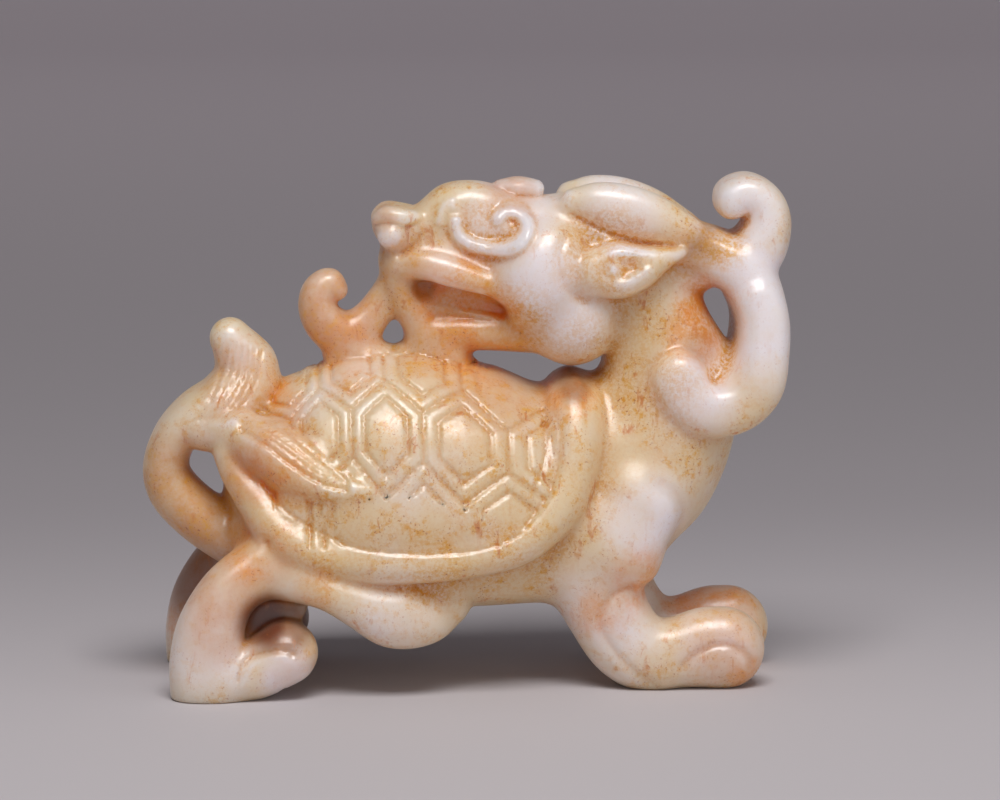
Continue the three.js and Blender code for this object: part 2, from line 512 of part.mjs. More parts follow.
function carveHead(field) {
  // bump on the crown
  field.limb([[3.1, 49.3, 0.9, 1.6], [4.8, 49.5, 1, 2.2], [6.5, 49.3, 0.9, 1.6]], { k: 0.2 });
  // eye socket with the spiral of the brow raised in it, and the eyelid
  const spiral = [[-1.6, 47.3], [-1.6, 45.8], [-0.9, 44.7], [0.3, 44.1], [2.1, 43.8], [3.5, 44],
    [4.6, 44.6], [5.3, 45.6], [5.3, 46.6], [4.6, 47.3], [3.5, 47.4], [2.7, 46.8], [2.9, 46.1]];
  field.engrave(spiral, { width: 1.2, depth: 0.4, from: 2.5 });
  field.engrave(spiral, { width: 0.68, depth: -1.1, from: 2.5, power: 3 });
  field.engrave([[-3, 45.6], [-3, 46.8], [-2.5, 47.9], [-1.2, 48.5]],
    { width: 0.6, depth: -0.5, from: 2, power: 3 });
  // creases over and under the nostril
  field.engrave([[-9.6, 46], [-8, 46.3], [-6.5, 45.9], [-5.4, 46.2]],
    { width: 0.22, depth: 0.2, from: 1.5 });
  field.engrave([[-7.3, 42.9], [-6.3, 43.5], [-5.4, 44.3], [-5, 45.2]],
    { width: 0.26, depth: 0.3, from: 2 });
  // mouth, deepest behind its front, and lower lip
  field.engrave([[-5, 39.6], [-4.2, 39.6], [-3.4, 39.3]], { width: 0.8, depth: 0.8, from: 2, power: 3 });
  field.engrave([[-4.4, 39.1], [-1.7, 38.5], [1, 38], [3.8, 37.4, 0.8]],
    { width: 0.8, depth: 0.6, from: 2.4, power: 3 });
  field.engrave([[-1.4, 37.4], [0.4, 37.1], [2.4, 36.7]], { width: 0.25, depth: -0.25, from: 2 });
  // hollow of the ear with a knob in it, and the lines round it
  field.engrave([[13.6, 42], [14.8, 42.2], [17, 42.7, 0.5]],
    { width: 1.15, depth: 0.95, from: 4, power: 4 });
  field.engrave([[13.8, 42], [13.9, 42], [14, 42]], { width: 0.65, depth: -0.6, from: 4, power: 3 });
  field.engrave([[9.3, 45.3], [8.6, 43.8], [8.5, 42.1], [8.9, 40.6], [9.8, 39.4], [11.6, 38.2]],
    { width: 0.45, depth: 0.22, from: 4 });
  field.engrave([[9.6, 47.3], [12.4, 45.8], [15.3, 44.7], [18.3, 44.2], [20.4, 43.9]],
    { width: 0.3, depth: 0.2, from: 3.5 });
}

// Cloud: a puff of breath that curls up from the shell and joins the snout

function addCloud(field) {
  field.limb([[-13.2, 39.3, 1.1, 2], [-14, 39.9, 1.6, 2.2], [-15, 38.9, 1.9, 2.5], [-15, 37.2, 2.1, 2.8],
    [-13.9, 35.6, 2.3, 3], [-12.2, 34.8, 2.3, 3], [-10.8, 35.6, 2.1, 2.6], [-9.6, 36.9, 1.8, 2.2],
    [-8.5, 38.4, 1.7, 2], [-7.8, 39.8, 1.5, 2]], { k: 0.4, power: 2.5 });
  field.limb([[-12.6, 33, 2, 3], [-10.6, 32.6, 2.3, 3.2], [-7.6, 32, 1.6, 3], [-4, 32.8, 2.2, 3.2]],
    { k: 0.8, power: 2.5 });
}

// Skin: the zero surface of the field. Each cube of grid points is split into six tetrahedra round
// its long diagonal, which always gives a closed surface.

const PATHS = [[1, 3], [1, 5], [2, 3], [2, 6], [4, 5], [4, 6]].map(([a, b]) => [0, a, b, 7]);

function skin(field) {
  const [nx, ny, nz] = field.count;
  const offsets = Array.from({ length: 8 }, (_, n) => field.index((n >> 2) & 1, (n >> 1) & 1, n & 1));
  const steps = (n) => [Math.floor(n / (ny * nz)), Math.floor(n / nz) % ny, n % nz];
  const place = (n) => steps(n).map((v, axis) => field.at(axis, v));
  const points = [];
  const triangles = [];
  const made = new Map();
  // vertex on the edge from grid point a to b
  const vertex = (a, b) => {
    const key = Math.min(a, b) * 8 + offsets.indexOf(Math.abs(a - b));
    if (!made.has(key)) {
      const t = clamp(field.d[a] / (field.d[a] - field.d[b]), 0.06, 0.94);
      const [p, q] = [place(a), place(b)];
      made.set(key, points.length);
      points.push(p.map((v, n) => v + t * (q[n] - v)));
    }
    return made.get(key);
  };
  const turn = ([a, b, c, d]) => dot(minus(b, a), cross(minus(c, a), minus(d, a))) > 0;
  const add = (corners, keep) => {
    triangles.push(keep ? corners : [corners[0], corners[2], corners[1]]);
  };
  for (let i = 0; i < nx - 1; i += 1) {
    for (let j = 0; j < ny - 1; j += 1) {
      for (let m = 0; m < nz - 1; m += 1) {
        const base = field.index(i, j, m);
        const first = field.d[base] < 0;
        if (offsets.every((o) => (field.d[base + o] < 0) === first)) continue;
        for (const path of PATHS) {
          const corners = path.map((o) => base + offsets[o]);
          const inside = corners.filter((n) => field.d[n] < 0);
          const outside = corners.filter((n) => field.d[n] >= 0);
          if (!inside.length || !outside.length) continue;
          if (inside.length === 2) {
            const [a, b] = inside;
            const [c, d] = outside;
            const keep = turn([a, b, c, d].map(place));
            const quad = [vertex(a, d), vertex(b, d), vertex(b, c), vertex(a, c)];
            add([quad[0], quad[1], quad[2]], keep);
            add([quad[0], quad[2], quad[3]], keep);
          } else {
            const alone = inside.length === 1;
            const [single] = alone ? inside : outside;
            const three = alone ? outside : inside;
            add(three.map((n) => vertex(single, n)), turn([single, ...three].map(place)) === alone);
          }
        }
      }
    }
  }
  return { points, triangles };
}

const length = (v) => Math.sqrt(dot(v, v));
const minus = (a, b) => [a[0] - b[0], a[1] - b[1], a[2] - b[2]];
const dot = (a, b) => a[0] * b[0] + a[1] * b[1] + a[2] * b[2];
const cross = (a, b) => [a[1] * b[2] - a[2] * b[1], a[2] * b[0] - a[0] * b[2], a[0] * b[1] - a[1] * b[0]];

// Evens the skin out: every point moves to the middle of its neighbours, and back onto the surface
function evened(field, { points, triangles }) {
  const around = points.map(() => []);
  for (const face of triangles) {
    face.forEach((n, m) => around[n].push(face[(m + 1) % 3]));
  }
  let even = points;
  for (let round = 0; round < EVENING; round += 1) {
    const old = even;
    even = around.map((near) => {
      const middle = [0, 1, 2].map((axis) => near.reduce((sum, m) => sum + old[m][axis], 0) / near.length);
      const { value, slope } = field.sample(middle);
      const push = clamp(value / Math.max(dot(slope, slope), 0.3), -GRID / 2, GRID / 2);
      return middle.map((v, axis) => v - push * slope[axis]);
    });
  }
  return { points: even, triangles };
}

// Thinning: edges are folded away in the order of how little that moves the surface, until the
// triangles are down to the number wanted. Each point carries the squared distance to its planes as
// ten sums.

function planeSums([a, b, c], d, weight) {
  return [a * a, a * b, a * c, a * d, b * b, b * c, b * d, c * c, c * d, d * d].map((v) => v * weight);
}

function planeError(q, [x, y, z]) {
  return q[0] * x * x + 2 * q[1] * x * y + 2 * q[2] * x * z + 2 * q[3] * x + q[4] * y * y
    + 2 * q[5] * y * z + 2 * q[6] * y + q[7] * z * z + 2 * q[8] * z + q[9];
}

// The point that lies nearest to all planes. A slight pull to the middle of the edge settles it where
// the planes alone don't.
function foldPoint(q, a, b) {
  const half = [0, 1, 2].map((n) => (a[n] + b[n]) / 2);
  const pull = MIDDLE_PULL * (q[0] + q[4] + q[7]);
  const matrix = new THREE.Matrix3().set(
    q[0] + pull, q[1], q[2],
    q[1], q[4] + pull, q[5],
    q[2], q[5], q[7] + pull,
  );
  const aim = new THREE.Vector3(pull * half[0] - q[3], pull * half[1] - q[6], pull * half[2] - q[8]);
  const best = aim.applyMatrix3(matrix.invert()).toArray();
  return length(minus(best, half)) < FOLD_REACH * length(minus(a, b)) ? best : half;
}

class Heap {
  constructor() {
    this.items = [];
  }

  push(item) {
    const { items } = this;
    let n = items.push(item) - 1;
    while (n > 0) {
      const up = (n - 1) >> 1;
      if (items[up].cost <= item.cost) break;
      items[n] = items[up];
      n = up;
    }
    items[n] = item;
  }

  pop() {
    const { items } = this;
    const top = items[0];
    const item = items.pop();
    if (!items.length) return top;
    let n = 0;
    for (;;) {
      let down = 2 * n + 1;
      if (down >= items.length) break;
      if (down + 1 < items.length && items[down + 1].cost < items[down].cost) down += 1;
      if (items[down].cost >= item.cost) break;
      items[n] = items[down];
      n = down;
    }
    items[n] = item;
    return top;
  }
}

function thin({ points, triangles }, wanted) {
  const faces = triangles.map((t) => [...t]);
  const around = points.map(() => new Set());
  const sums = points.map(() => new Array(10).fill(0));
  const stamp = points.map(() => 0);
  faces.forEach((face, f) => {
    const [a, b, c] = face.map((n) => points[n]);
    const normal = cross(minus(b, a), minus(c, a));
    const size = length(normal) || 1e-12;
    const unit = normal.map((v) => v / size);
    const part = planeSums(unit, -dot(unit, a), size);
    for (const n of face) {
      around[n].add(f);
      part.forEach((v, m) => { sums[n][m] += v; });
    }
  });
  const heap = new Heap();
  const offer = (a, b) => {
    const q = sums[a].map((v, m) => v + sums[b][m]);
    const point = foldPoint(q, points[a], points[b]);
    // a small share of the edge's own length keeps the triangles even where the stone is flat
    const cost = planeError(q, point) + 1e-5 * length(minus(points[a], points[b])) ** 4;
    heap.push({ a, b, q, point, cost, stamps: stamp[a] + stamp[b] });
  };
  const neighbours = (n) => {
    const set = new Set();
    for (const f of around[n]) for (const m of faces[f]) if (m !== n) set.add(m);
    return set;
  };
  // a face that would turn over, or become a worse sliver, when its corner n moves to point
  const shape = (corners) => {
    const normal = cross(minus(corners[1], corners[0]), minus(corners[2], corners[0]));
    const size = length(normal);
    const longest = Math.max(...[0, 1, 2].map((m) => length(minus(corners[m], corners[(m + 1) % 3]))));
    return { normal, size, stout: size / longest ** 2 };
  };
  const spoils = (f, n, point) => {
    const before = shape(faces[f].map((m) => points[m]));
    const after = shape(faces[f].map((m) => (m === n ? point : points[m])));
    if (after.stout < Math.min(before.stout, SLIVER)) return true;
    return dot(before.normal, after.normal) < 0.2 * before.size * after.size;
  };
  const offerAll = () => {
    for (let n = 0; n < points.length; n += 1) {
      for (const m of neighbours(n)) if (m > n) offer(n, m);
    }
  };
  let left = faces.length;
  let last = Infinity;
  while (left > wanted) {
    if (!heap.items.length) {
      if (left === last) break;
      last = left;
      offerAll();
    }
    const { a, b, q, point, stamps } = heap.pop();
    if (stamp[a] < 0 || stamp[b] < 0 || stamps !== stamp[a] + stamp[b]) continue;
    const [nearA, nearB] = [neighbours(a), neighbours(b)];
    const shared = [...nearA].filter((n) => nearB.has(n));
    if (shared.length !== 2) continue;
    const both = [...around[a]].filter((f) => around[b].has(f));
    const spoiled = (n) => [...around[n]].some((f) => !both.includes(f) && spoils(f, n, point));
    if (spoiled(a) || spoiled(b)) continue;
    for (const f of both) {
      for (const n of faces[f]) around[n].delete(f);
      faces[f] = null;
    }
    left -= both.length;
    for (const f of around[b]) {
      faces[f] = faces[f].map((n) => (n === b ? a : n));
      around[a].add(f);
    }
    around[b].clear();
    points[a] = point;
    sums[a] = q;
    stamp[b] = -1;
    stamp[a] += 1;
    for (const n of neighbours(a)) offer(a, n);
  }
  return { points, triangles: faces.filter((f) => f) };
}

// Closed solids, as Manifold objects

function solid({ points, triangles }) {
  const number = new Map();
  const vertProperties = [];
  const triVerts = [];
  for (const face of triangles) {
    for (const n of face) {
      if (!number.has(n)) {
        number.set(n, number.size);
        vertProperties.push(...points[n]);
      }
      triVerts.push(number.get(n));
    }
  }
  const mesh = new wasm.Mesh({
    numProp: 3, vertProperties: new Float32Array(vertProperties), triVerts: new Uint32Array(triVerts),
  });
  return new wasm.Manifold(mesh);
}

// The block of air under the soles
function ground() {
  const box = new THREE.BoxGeometry(100, 60, 10).translate(0, 0, -5);
  const seen = new Map();
  const points = [];
  const number = Array.from({ length: box.attributes.position.count }, (_, n) => {
    const p = [0, 1, 2].map((axis) => box.attributes.position.getComponent(n, axis));
    if (!seen.has(p.join())) seen.set(p.join(), points.push(p) - 1);
    return seen.get(p.join());
  });
  const triangles = [];
  for (let n = 0; n < box.index.count; n += 3) {
    triangles.push([0, 1, 2].map((m) => number[box.index.getX(n + m)]));
  }
  return solid({ points, triangles });
}

function geometryOf(manifold) {
  const { vertProperties, triVerts } = manifold.getMesh();
  const geometry = new THREE.BufferGeometry();
  geometry.setAttribute('position', new THREE.BufferAttribute(new Float32Array(vertProperties), 3));
  geometry.setIndex(new THREE.BufferAttribute(new Uint32Array(triVerts), 1));
  // middle of the box over the origin
  geometry.computeBoundingBox();
  const { min, max } = geometry.boundingBox;
  geometry.translate(-(min.x + max.x) / 2, -(min.y + max.y) / 2, 0);
  return geometry;
}

const field = new Field(BOUNDS, GRID);
const shell = addShell(field);
addBody(field);
for (const side of SIDES) {
  addRearLeg(field, side);
  addFrontLeg(field, side);
}
addTail(field);
addHorn(field);
addHead(field);
addCloud(field);
field.soften(ROUNDING);
carveShell(field, shell);
carveLegs(field);
carveTail(field);
carveHead(field);
field.close();

const jade = new THREE.MeshStandardMaterial({ color: 0xe6d2a8, roughness: 0.32, metalness: 0 });
const outside = thin(evened(field, skin(field)), TRIANGLES);
const carving = new THREE.Mesh(geometryOf(solid(outside).subtract(ground())), jade);
carving.name = 'dragon_turtle';

const group = new THREE.Group();
group.add(carving);

export default group;
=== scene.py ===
# Jade dragon turtle: the looks of one carving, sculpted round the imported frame.
#
# The form is a field of signed distances on a grid, in millimetres and negative inside the stone.
# Limbs, balls and tubes are joined into it, lines are pressed into its skin, and the skin is drawn as
# a mesh. The places and sizes are those that the solid is made from. The grid is finer, and so are
# the lines.
import math

import bpy
import numpy as np
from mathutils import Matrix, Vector


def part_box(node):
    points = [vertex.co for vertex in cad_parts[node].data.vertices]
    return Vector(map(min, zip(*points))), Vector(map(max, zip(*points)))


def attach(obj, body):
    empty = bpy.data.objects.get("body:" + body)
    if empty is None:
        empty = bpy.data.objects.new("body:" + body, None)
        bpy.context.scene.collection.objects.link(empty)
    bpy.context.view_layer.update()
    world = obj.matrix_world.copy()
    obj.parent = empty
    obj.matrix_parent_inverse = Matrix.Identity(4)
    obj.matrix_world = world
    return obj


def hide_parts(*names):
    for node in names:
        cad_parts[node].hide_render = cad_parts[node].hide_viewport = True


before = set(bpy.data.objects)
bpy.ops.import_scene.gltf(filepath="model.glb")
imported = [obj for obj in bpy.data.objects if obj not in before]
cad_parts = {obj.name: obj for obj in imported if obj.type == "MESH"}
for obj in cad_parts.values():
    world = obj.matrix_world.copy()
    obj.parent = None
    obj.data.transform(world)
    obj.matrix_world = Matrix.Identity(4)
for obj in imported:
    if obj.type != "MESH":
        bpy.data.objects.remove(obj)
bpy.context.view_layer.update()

MM = 0.001

# Driving dimensions, in millimetres: X runs to the chest, Y to the far side, and Z up from the soles
GRID = 0.2  # spacing of the field's points
SKIN_GRID = 0.3  # spacing of the mesh's points before it is thinned
TRIANGLES = 196000  # what the mesh is thinned to
REACH = 3.0  # distances are kept up to this far from the skin
ROUNDING = 0.38  # how softly the joins are rounded
LINE_END = 0.35  # share of its depth that a carved line still has at its ends
BOUNDS = ((-34, -16, -1.6), (34, 16, 53))

SHELL_CENTRE = (-7.1, 0, 20)
SHELL_RADII = (17.5, 12.6, 13.5)
SHELL_GIRTH = 1.05  # way down its side, over its half width times the angle
SHELL_BACK, SHELL_FRONT = -20, 2.5  # between these its section changes along it

# Six-sided plates on the shell
SCUTE_PITCH, SCUTE_ROW, SCUTE_SIDE = 7.5, 8.75, 5  # across one, from row to row, upright side
SCUTE_LENGTH, SCUTE_GROWTH = 7.65, 0.09  # real length at the middle one, and its gain per millimetre
SCUTE_CENTRE_X, SCUTE_RIDGE, SCUTE_TILT = -5.1, 5.9, 0.1  # where columns and rows start, rows' slope
SCUTE_LINE, SCUTE_DEPTH = 0.27, 0.3  # width and depth of the border's line
SCUTE_INSET, SCUTE_INSET_SHARE = 1.5, 0.9  # how far in the second line lies, and its depth's share
SCUTE_PILLOW = 0.14  # how far a plate swells inside that line

REAR_FAR, REAR_Y = -0.6, -9.6  # place of the far rear leg along X, and the near foot's middle
FORE_FAR, FORE_Y = 1.6, -6  # the same for the front legs

NEAR, FAR = -1, 1
SIDES = (NEAR, FAR)


def smooth_step(start, end, v):
    t = np.clip((v - start) / (end - start), 0, 1)
    return t * t * (3 - 2 * t)


def soft_min(a, b, k):
    """The lower of two distances, with a fillet of about k between them."""
    h = np.maximum(k - np.abs(a - b), 0) / k
    return np.minimum(a, b) - h * h * (k / 4)


def spline(rows, steps=12):
    """A smooth curve through rows of numbers; every column is carried along it."""
    p = np.array(rows, float)
    p = np.vstack([2 * p[0] - p[1], p, 2 * p[-1] - p[-2]])
    out = []
    for a, b, c, e in zip(p, p[1:], p[2:], p[3:]):
        for t in np.arange(steps) / steps:
            bend = (2 * a - 5 * b + 4 * c - e) * t * t + (3 * b - a - 3 * c + e) * t ** 3
            out.append(0.5 * (2 * b + (c - a) * t + bend))
    out.append(p[-2])
    return np.array(out)


def curl(centre, radius, angle, thick, points, rest=()):
    """Rows on a spiral in the side view; radius, angle and thickness run from first to last."""
    rows = []
    for t in np.linspace(0, 1, points):
        r = radius[0] + (radius[1] - radius[0]) * t
        a = math.radians(angle[0] + (angle[1] - angle[0]) * t)
        width = thick[0] + (thick[1] - thick[0]) * t
        rows.append([centre[0] + r * math.cos(a), centre[1] + r * math.sin(a), width, *rest])
    return rows


def nearest(coords, path, dims):
    """Distance from points to a path in its first dims columns, the path's other columns there, how far
    along the path that is, and the path's length."""
    best = None
    total = 0.0
    for p, q in zip(path, path[1:]):
        run = (q - p).astype(np.float32)
        squared = float((run[:dims] ** 2).sum()) + 1e-12
        t = sum((c - np.float32(a)) * (s / np.float32(squared))
                for c, a, s in zip(coords, p, run[:dims]))
        t = np.clip(t, 0, 1)
        away = sum((c - np.float32(a) - t * s) ** 2 for c, a, s in zip(coords, p, run[:dims]))
        values = [np.float32(a) + t * s for a, s in zip(p[dims:], run[dims:])]
        values.append(total + t * math.sqrt(squared))
        if best is None:
            best, kept = away, values
        else:
            nearer = away < best
            best = np.where(nearer, away, best)
            kept = [np.where(nearer, new, old) for new, old in zip(values, kept)]
        total += math.sqrt(squared)
    return np.sqrt(best), kept[:-1], kept[-1], total


def ellipsoid_distance(x, y, z, radii):
    f = np.sqrt((x / radii[0]) ** 2 + (y / radii[1]) ** 2 + (z / radii[2]) ** 2)
    slope = np.sqrt((x / radii[0] ** 2) ** 2 + (y / radii[1] ** 2) ** 2 + (z / radii[2] ** 2) ** 2)
    return (f - 1) * f / np.maximum(slope, 1e-4)


class Field:
    def __init__(self, bounds, step):
        self.step = step
        self.low = np.array(bounds[0], float)
        counts = [round((b - a) / step) + 1 for a, b in zip(*bounds)]
        self.axes = [np.float32(a) + np.arange(n, dtype=np.float32) * np.float32(step)
                     for a, n in zip(self.low, counts)]
        self.d = np.full(counts, REACH, np.float32)

    def block(self, low, high):
        """The grid's slices between two corners, and the coordinates there."""
        cut = []
        for start, a, b, count in zip(self.low, low, high, self.d.shape):
            i = min(max(0, math.floor((a - start) / self.step)), count)
            j = min(count, max(i, math.ceil((b - start) / self.step) + 1))
            cut.append(slice(i, j))
        x, y, z = (axis[c] for axis, c in zip(self.axes, cut))
        return tuple(cut), x[:, None, None], y[None, :, None], z[None, None, :]

    def limb(self, rows, k=1.2, power=2.3, side=NEAR, dx=0.0):
        """A stroke drawn in the side view. Rows: x, z, radius there, half thickness across, y of the
        middle. Its section is a superellipse of the given power."""
        path = spline([list(row) + [0.0] * (5 - len(row)) for row in rows])
        path[:, 0] += dx
        path[:, 4] *= -side
        reach = path[:, 2].max() + REACH
        near, far = path[:, 4] - path[:, 3], path[:, 4] + path[:, 3]
        low = (path[:, 0].min() - reach, near.min() - REACH, path[:, 1].min() - reach)
        high = (path[:, 0].max() + reach, far.max() + REACH, path[:, 1].max() + reach)
        cut, x, y, z = self.block(low, high)
        rho, (r, h, middle), _, _ = nearest((x, z), path, 2)
        a = np.maximum(rho / r, 1e-3)
        b = np.maximum(np.abs(y - middle) / h, 1e-3)
        f = (a ** power + b ** power) ** (1 / power)
        slope = f ** (1 - power) * np.sqrt((a ** (power - 1) / r) ** 2 + (b ** (power - 1) / h) ** 2)
        self.d[cut] = soft_min(self.d[cut], (f - 1) / slope, k)

    def ball(self, centre, radii, k=1.2, tilt=0.0):
        """An ellipsoid, turned about Y by tilt degrees."""
        c, s = math.cos(math.radians(tilt)), math.sin(math.radians(tilt))
        big = np.array([max(radii[0], radii[2]), radii[1], max(radii[0], radii[2])]) + REACH
        cut, x, y, z = self.block(np.array(centre) - big, np.array(centre) + big)
        u = (x - centre[0]) * c + (z - centre[2]) * s
        w = (z - centre[2]) * c - (x - centre[0]) * s
        self.d[cut] = soft_min(self.d[cut], ellipsoid_distance(u, y - centre[1], w, radii), k)

    def tube(self, rows, k=0.6):
        """A round tube along a curve in space. Rows: x, y, z, radius."""
        path = spline(rows, 6)
        for p, q in zip(path, path[1:]):
            big = max(p[3], q[3]) + REACH
            cut, x, y, z = self.block(np.minimum(p, q)[:3] - big, np.maximum(p, q)[:3] + big)
            rho, (r,), _, _ = nearest((x, y, z), np.array([p, q]), 3)
            self.d[cut] = soft_min(self.d[cut], rho - r, k)

    def soften(self, sigma):
        """Rounds every join a little by averaging neighbours."""
        self.d = blurred(self.d, sigma / self.step)

    def resampled(self, step):
        """The same field on a grid of another step."""
        other = Field(BOUNDS, step)
        d = self.d
        for axis, places in enumerate(other.axes):
            at = (places - self.low[axis]) / self.step
            base = np.clip(np.floor(at).astype(int), 0, d.shape[axis] - 2)
            t = np.expand_dims((at - base).astype(np.float32), [n for n in range(3) if n != axis])
            d = np.take(d, base, axis) * (1 - t) + np.take(d, base + 1, axis) * t
        other.d = d
        return other

    def engrave(self, rows, width, depth, start, sides=SIDES, dx=0.0, power=2):
        """Presses a line into the skin where |y| is above start; a depth below zero raises a ridge.
        Rows: x, z and, where it isn't 1, a width factor. A power over 2 gives it a flat floor."""
        path = spline([list(row) + [1.0] * (3 - len(row)) for row in rows], 8)
        path[:, 0] += dx
        reach = 3 * width * path[:, 2].max()
        y_low, y_high = BOUNDS[0][1] if NEAR in sides else 0, BOUNDS[1][1] if FAR in sides else 0
        low = (path[:, 0].min() - reach, y_low, path[:, 1].min() - reach)
        high = (path[:, 0].max() + reach, y_high, path[:, 1].max() + reach)
        cut, x, y, z = self.block(low, high)
        rho, (factor,), along, total = nearest((x, z), path, 2)
        ease = smooth_step(0, 1.2 * width, along) * smooth_step(0, 1.2 * width, total - along)
        profile = depth * np.exp(-(rho / (width * factor)) ** power)
        press = profile * (LINE_END + (1 - LINE_END) * ease)
        self.d[cut] += press * smooth_step(start - 0.5, start + 0.5, np.abs(y))


def blurred(d, sigma):
    """A grid averaged with its neighbours; sigma is in grid steps."""
    for _ in range(max(1, round(2 * sigma ** 2))):
        for axis in range(3):
            d = np.moveaxis(d, axis, 0)
            middle = 0.5 * d[1:-1] + 0.25 * (d[:-2] + d[2:])
            d = np.moveaxis(np.concatenate([d[:1], middle, d[-1:]]), 0, axis)
    return d


# Shell

def add_shell(field):
    field.ball(SHELL_CENTRE, SHELL_RADII, k=0.01)
    # the dome is fuller in front, and its flanks stand nearly upright down to the rim
    field.ball((0.5, 0, 20.8), (11.5, 11.8, 10.2), k=1.5)
    for side in SIDES:
        field.limb([[-17, 18.4, 3.6, 3.8, -7.2], [-12, 17, 4, 4.2, -8.5], [-5, 16.4, 4.2, 4.2, -8.8],
                    [2, 17, 4, 4, -8.5], [5.6, 19, 3.6, 3.8, -7.2]], k=2.5, side=side)
    shell = field.d.copy()
    # collar over its front edge, and the stone between the dome and the neck, inside the rim
    field.limb([[5, 26, 2.6, 6], [8, 27, 2.6, 5.4], [10.4, 28.3, 2.5, 4.6]], k=1.5)
    field.limb([[3, 21, 6.5, 7.4], [9, 21, 7, 7.6], [13, 21.5, 6.5, 7.6]], k=1, power=2.5)
    # rim: from beside the tail along the flank and up in front of the dome
    rim = [[-22.2, 0, 22.6, 1.5], [-22.2, -4.5, 21.9, 1.6], [-21.3, -7.8, 19.3, 1.6],
           [-19.2, -9.9, 16.4, 1.6], [-15.2, -11.1, 14.4, 1.5], [-9, -11.7, 13.4, 1.4],
           [-2.4, -11.7, 13.6, 1.4], [3.8, -11, 15, 1.6], [7.6, -9.8, 17.9, 1.8],
           [9.4, -8.4, 21.2, 2], [10.1, -7, 25.2, 2.1], [10, -4.8, 28, 2.1], [10, 0, 29, 1.9]]
    for side in SIDES:
        field.tube([[x, -side * y, z, r] for x, y, z, r in rim], k=1)
        field.limb([[-24.5, 23.7, 1.2, 1.8, -5.6], [-23.4, 21.7, 1.5, 2, -6.6],
                    [-21.8, 19.4, 1.6, 2, -7.8]], k=0.5, side=side)
    return shell


def scute_depth(x, z):
    """Depth of the lines round the six-sided plates: one on each border, and one inside it."""
    # how far down the shell's side a point is, and how far along
    share = np.clip((np.clip(x, SHELL_BACK, SHELL_FRONT) - SHELL_CENTRE[0]) / SHELL_RADII[0], -1, 1)
    height = (z - SHELL_CENTRE[2]) / (SHELL_RADII[2] * np.sqrt(1 - share ** 2))
    theta = np.arccos(np.clip(height, -0.99, 0.99))
    along = x - SCUTE_CENTRE_X
    u = SCUTE_PITCH * along / (SCUTE_LENGTH + SCUTE_GROWTH * np.clip(along, -16, 16))
    v = theta * SHELL_RADII[1] * SHELL_GIRTH - SCUTE_RIDGE - SCUTE_TILT * along
    apex = SCUTE_ROW - SCUTE_SIDE
    tilt = math.atan2(apex, SCUTE_PITCH / 2)
    inner, plate = -np.inf, 0
    for shift in (-1, 0, 1):
        row = np.floor(v / SCUTE_ROW + 0.5) + shift
        half = np.mod(row, 2) / 2
        cell = (np.floor(u / SCUTE_PITCH - half + 0.5) + half) * SCUTE_PITCH
        du = np.abs(u - cell)
        dv = np.abs(v - row * SCUTE_ROW)
        slant = (SCUTE_ROW / 2 - dv) * math.cos(tilt) + (SCUTE_PITCH / 4 - du) * math.sin(tilt)
        here = np.minimum(SCUTE_PITCH / 2 - du, slant)
        plate = np.where(here > inner, row, plate)
        inner = np.maximum(inner, here)
    border = np.exp(-(inner / SCUTE_LINE) ** 2)
    inset = SCUTE_INSET_SHARE * np.exp(-((inner - SCUTE_INSET) / SCUTE_LINE) ** 2)
    pillow = SCUTE_PILLOW * smooth_step(SCUTE_INSET, SCUTE_PITCH / 2, inner)
    # the front of the crest is plain, and the lines die away low on the flank and before the flange
    plain = 1 - (plate < 0.5) * smooth_step(-0.5, 1.5, x)
    fade = (1 - 0.6 * smooth_step(1.6, 2, theta)) * (1 - smooth_step(7, 8.4, x))
    return fade * (SCUTE_DEPTH * (border + inset * plain) - pillow * plain)


def carve_shell(field, shell):
    cut, x, _, z = field.block(np.array(SHELL_CENTRE) - SHELL_RADII, np.array(SHELL_CENTRE) + SHELL_RADII)
    # only where the skin is the shell's own
    strength = 1 - smooth_step(0.05, 0.5, np.abs(shell[cut] - field.d[cut]))
    field.d[cut] += scute_depth(x, z) * strength
    # line above the rim, the edge of the flange in front with one more inside it, and the two cuts
    # across the rim
    field.engrave([[-21, 21.6], [-19.4, 19.6], [-17.4, 18], [-14.6, 16.5], [-10.9, 15.2], [-4.5, 14.7],
                   [1, 15.2], [4.5, 16.6, 0.8]], width=0.22, depth=0.16, start=4)
    field.engrave([[4.6, 17], [7.2, 20.2], [8.2, 23], [8.5, 25.8], [8, 28]],
                  width=0.3, depth=0.2, start=4)
    field.engrave([[5.6, 20.4], [6.6, 22.6], [7, 25], [6.9, 27.4]], width=0.24, depth=0.18, start=4)
    for x in (-16.2, -14.8):
        field.engrave([[x + 0.4, 18.6], [x + 0.1, 17.2], [x - 0.1, 15.2]],
                      width=0.28, depth=0.3, start=6)


# Body and neck

def add_body(field):
    field.limb([[-17.5, 15, 6.8, 9.2], [-7, 14.2, 6.3, 10.3], [3, 14.2, 6.3, 10], [11, 16.5, 7.4, 8.6],
                [12.5, 23, 5.5, 6]], k=1, power=3)
    field.limb([[14.2, 15.6, 5.6, 7.6], [15.6, 17.2, 5.9, 7.8], [17.5, 20.6, 7, 8.2],
                [19.2, 25.4, 7.3, 7.6], [19.7, 30.4, 7.1, 6.6], [18.6, 35.4, 5.5, 5.8],
                [17, 40.2, 5, 5.4]], k=2.5)


# Legs

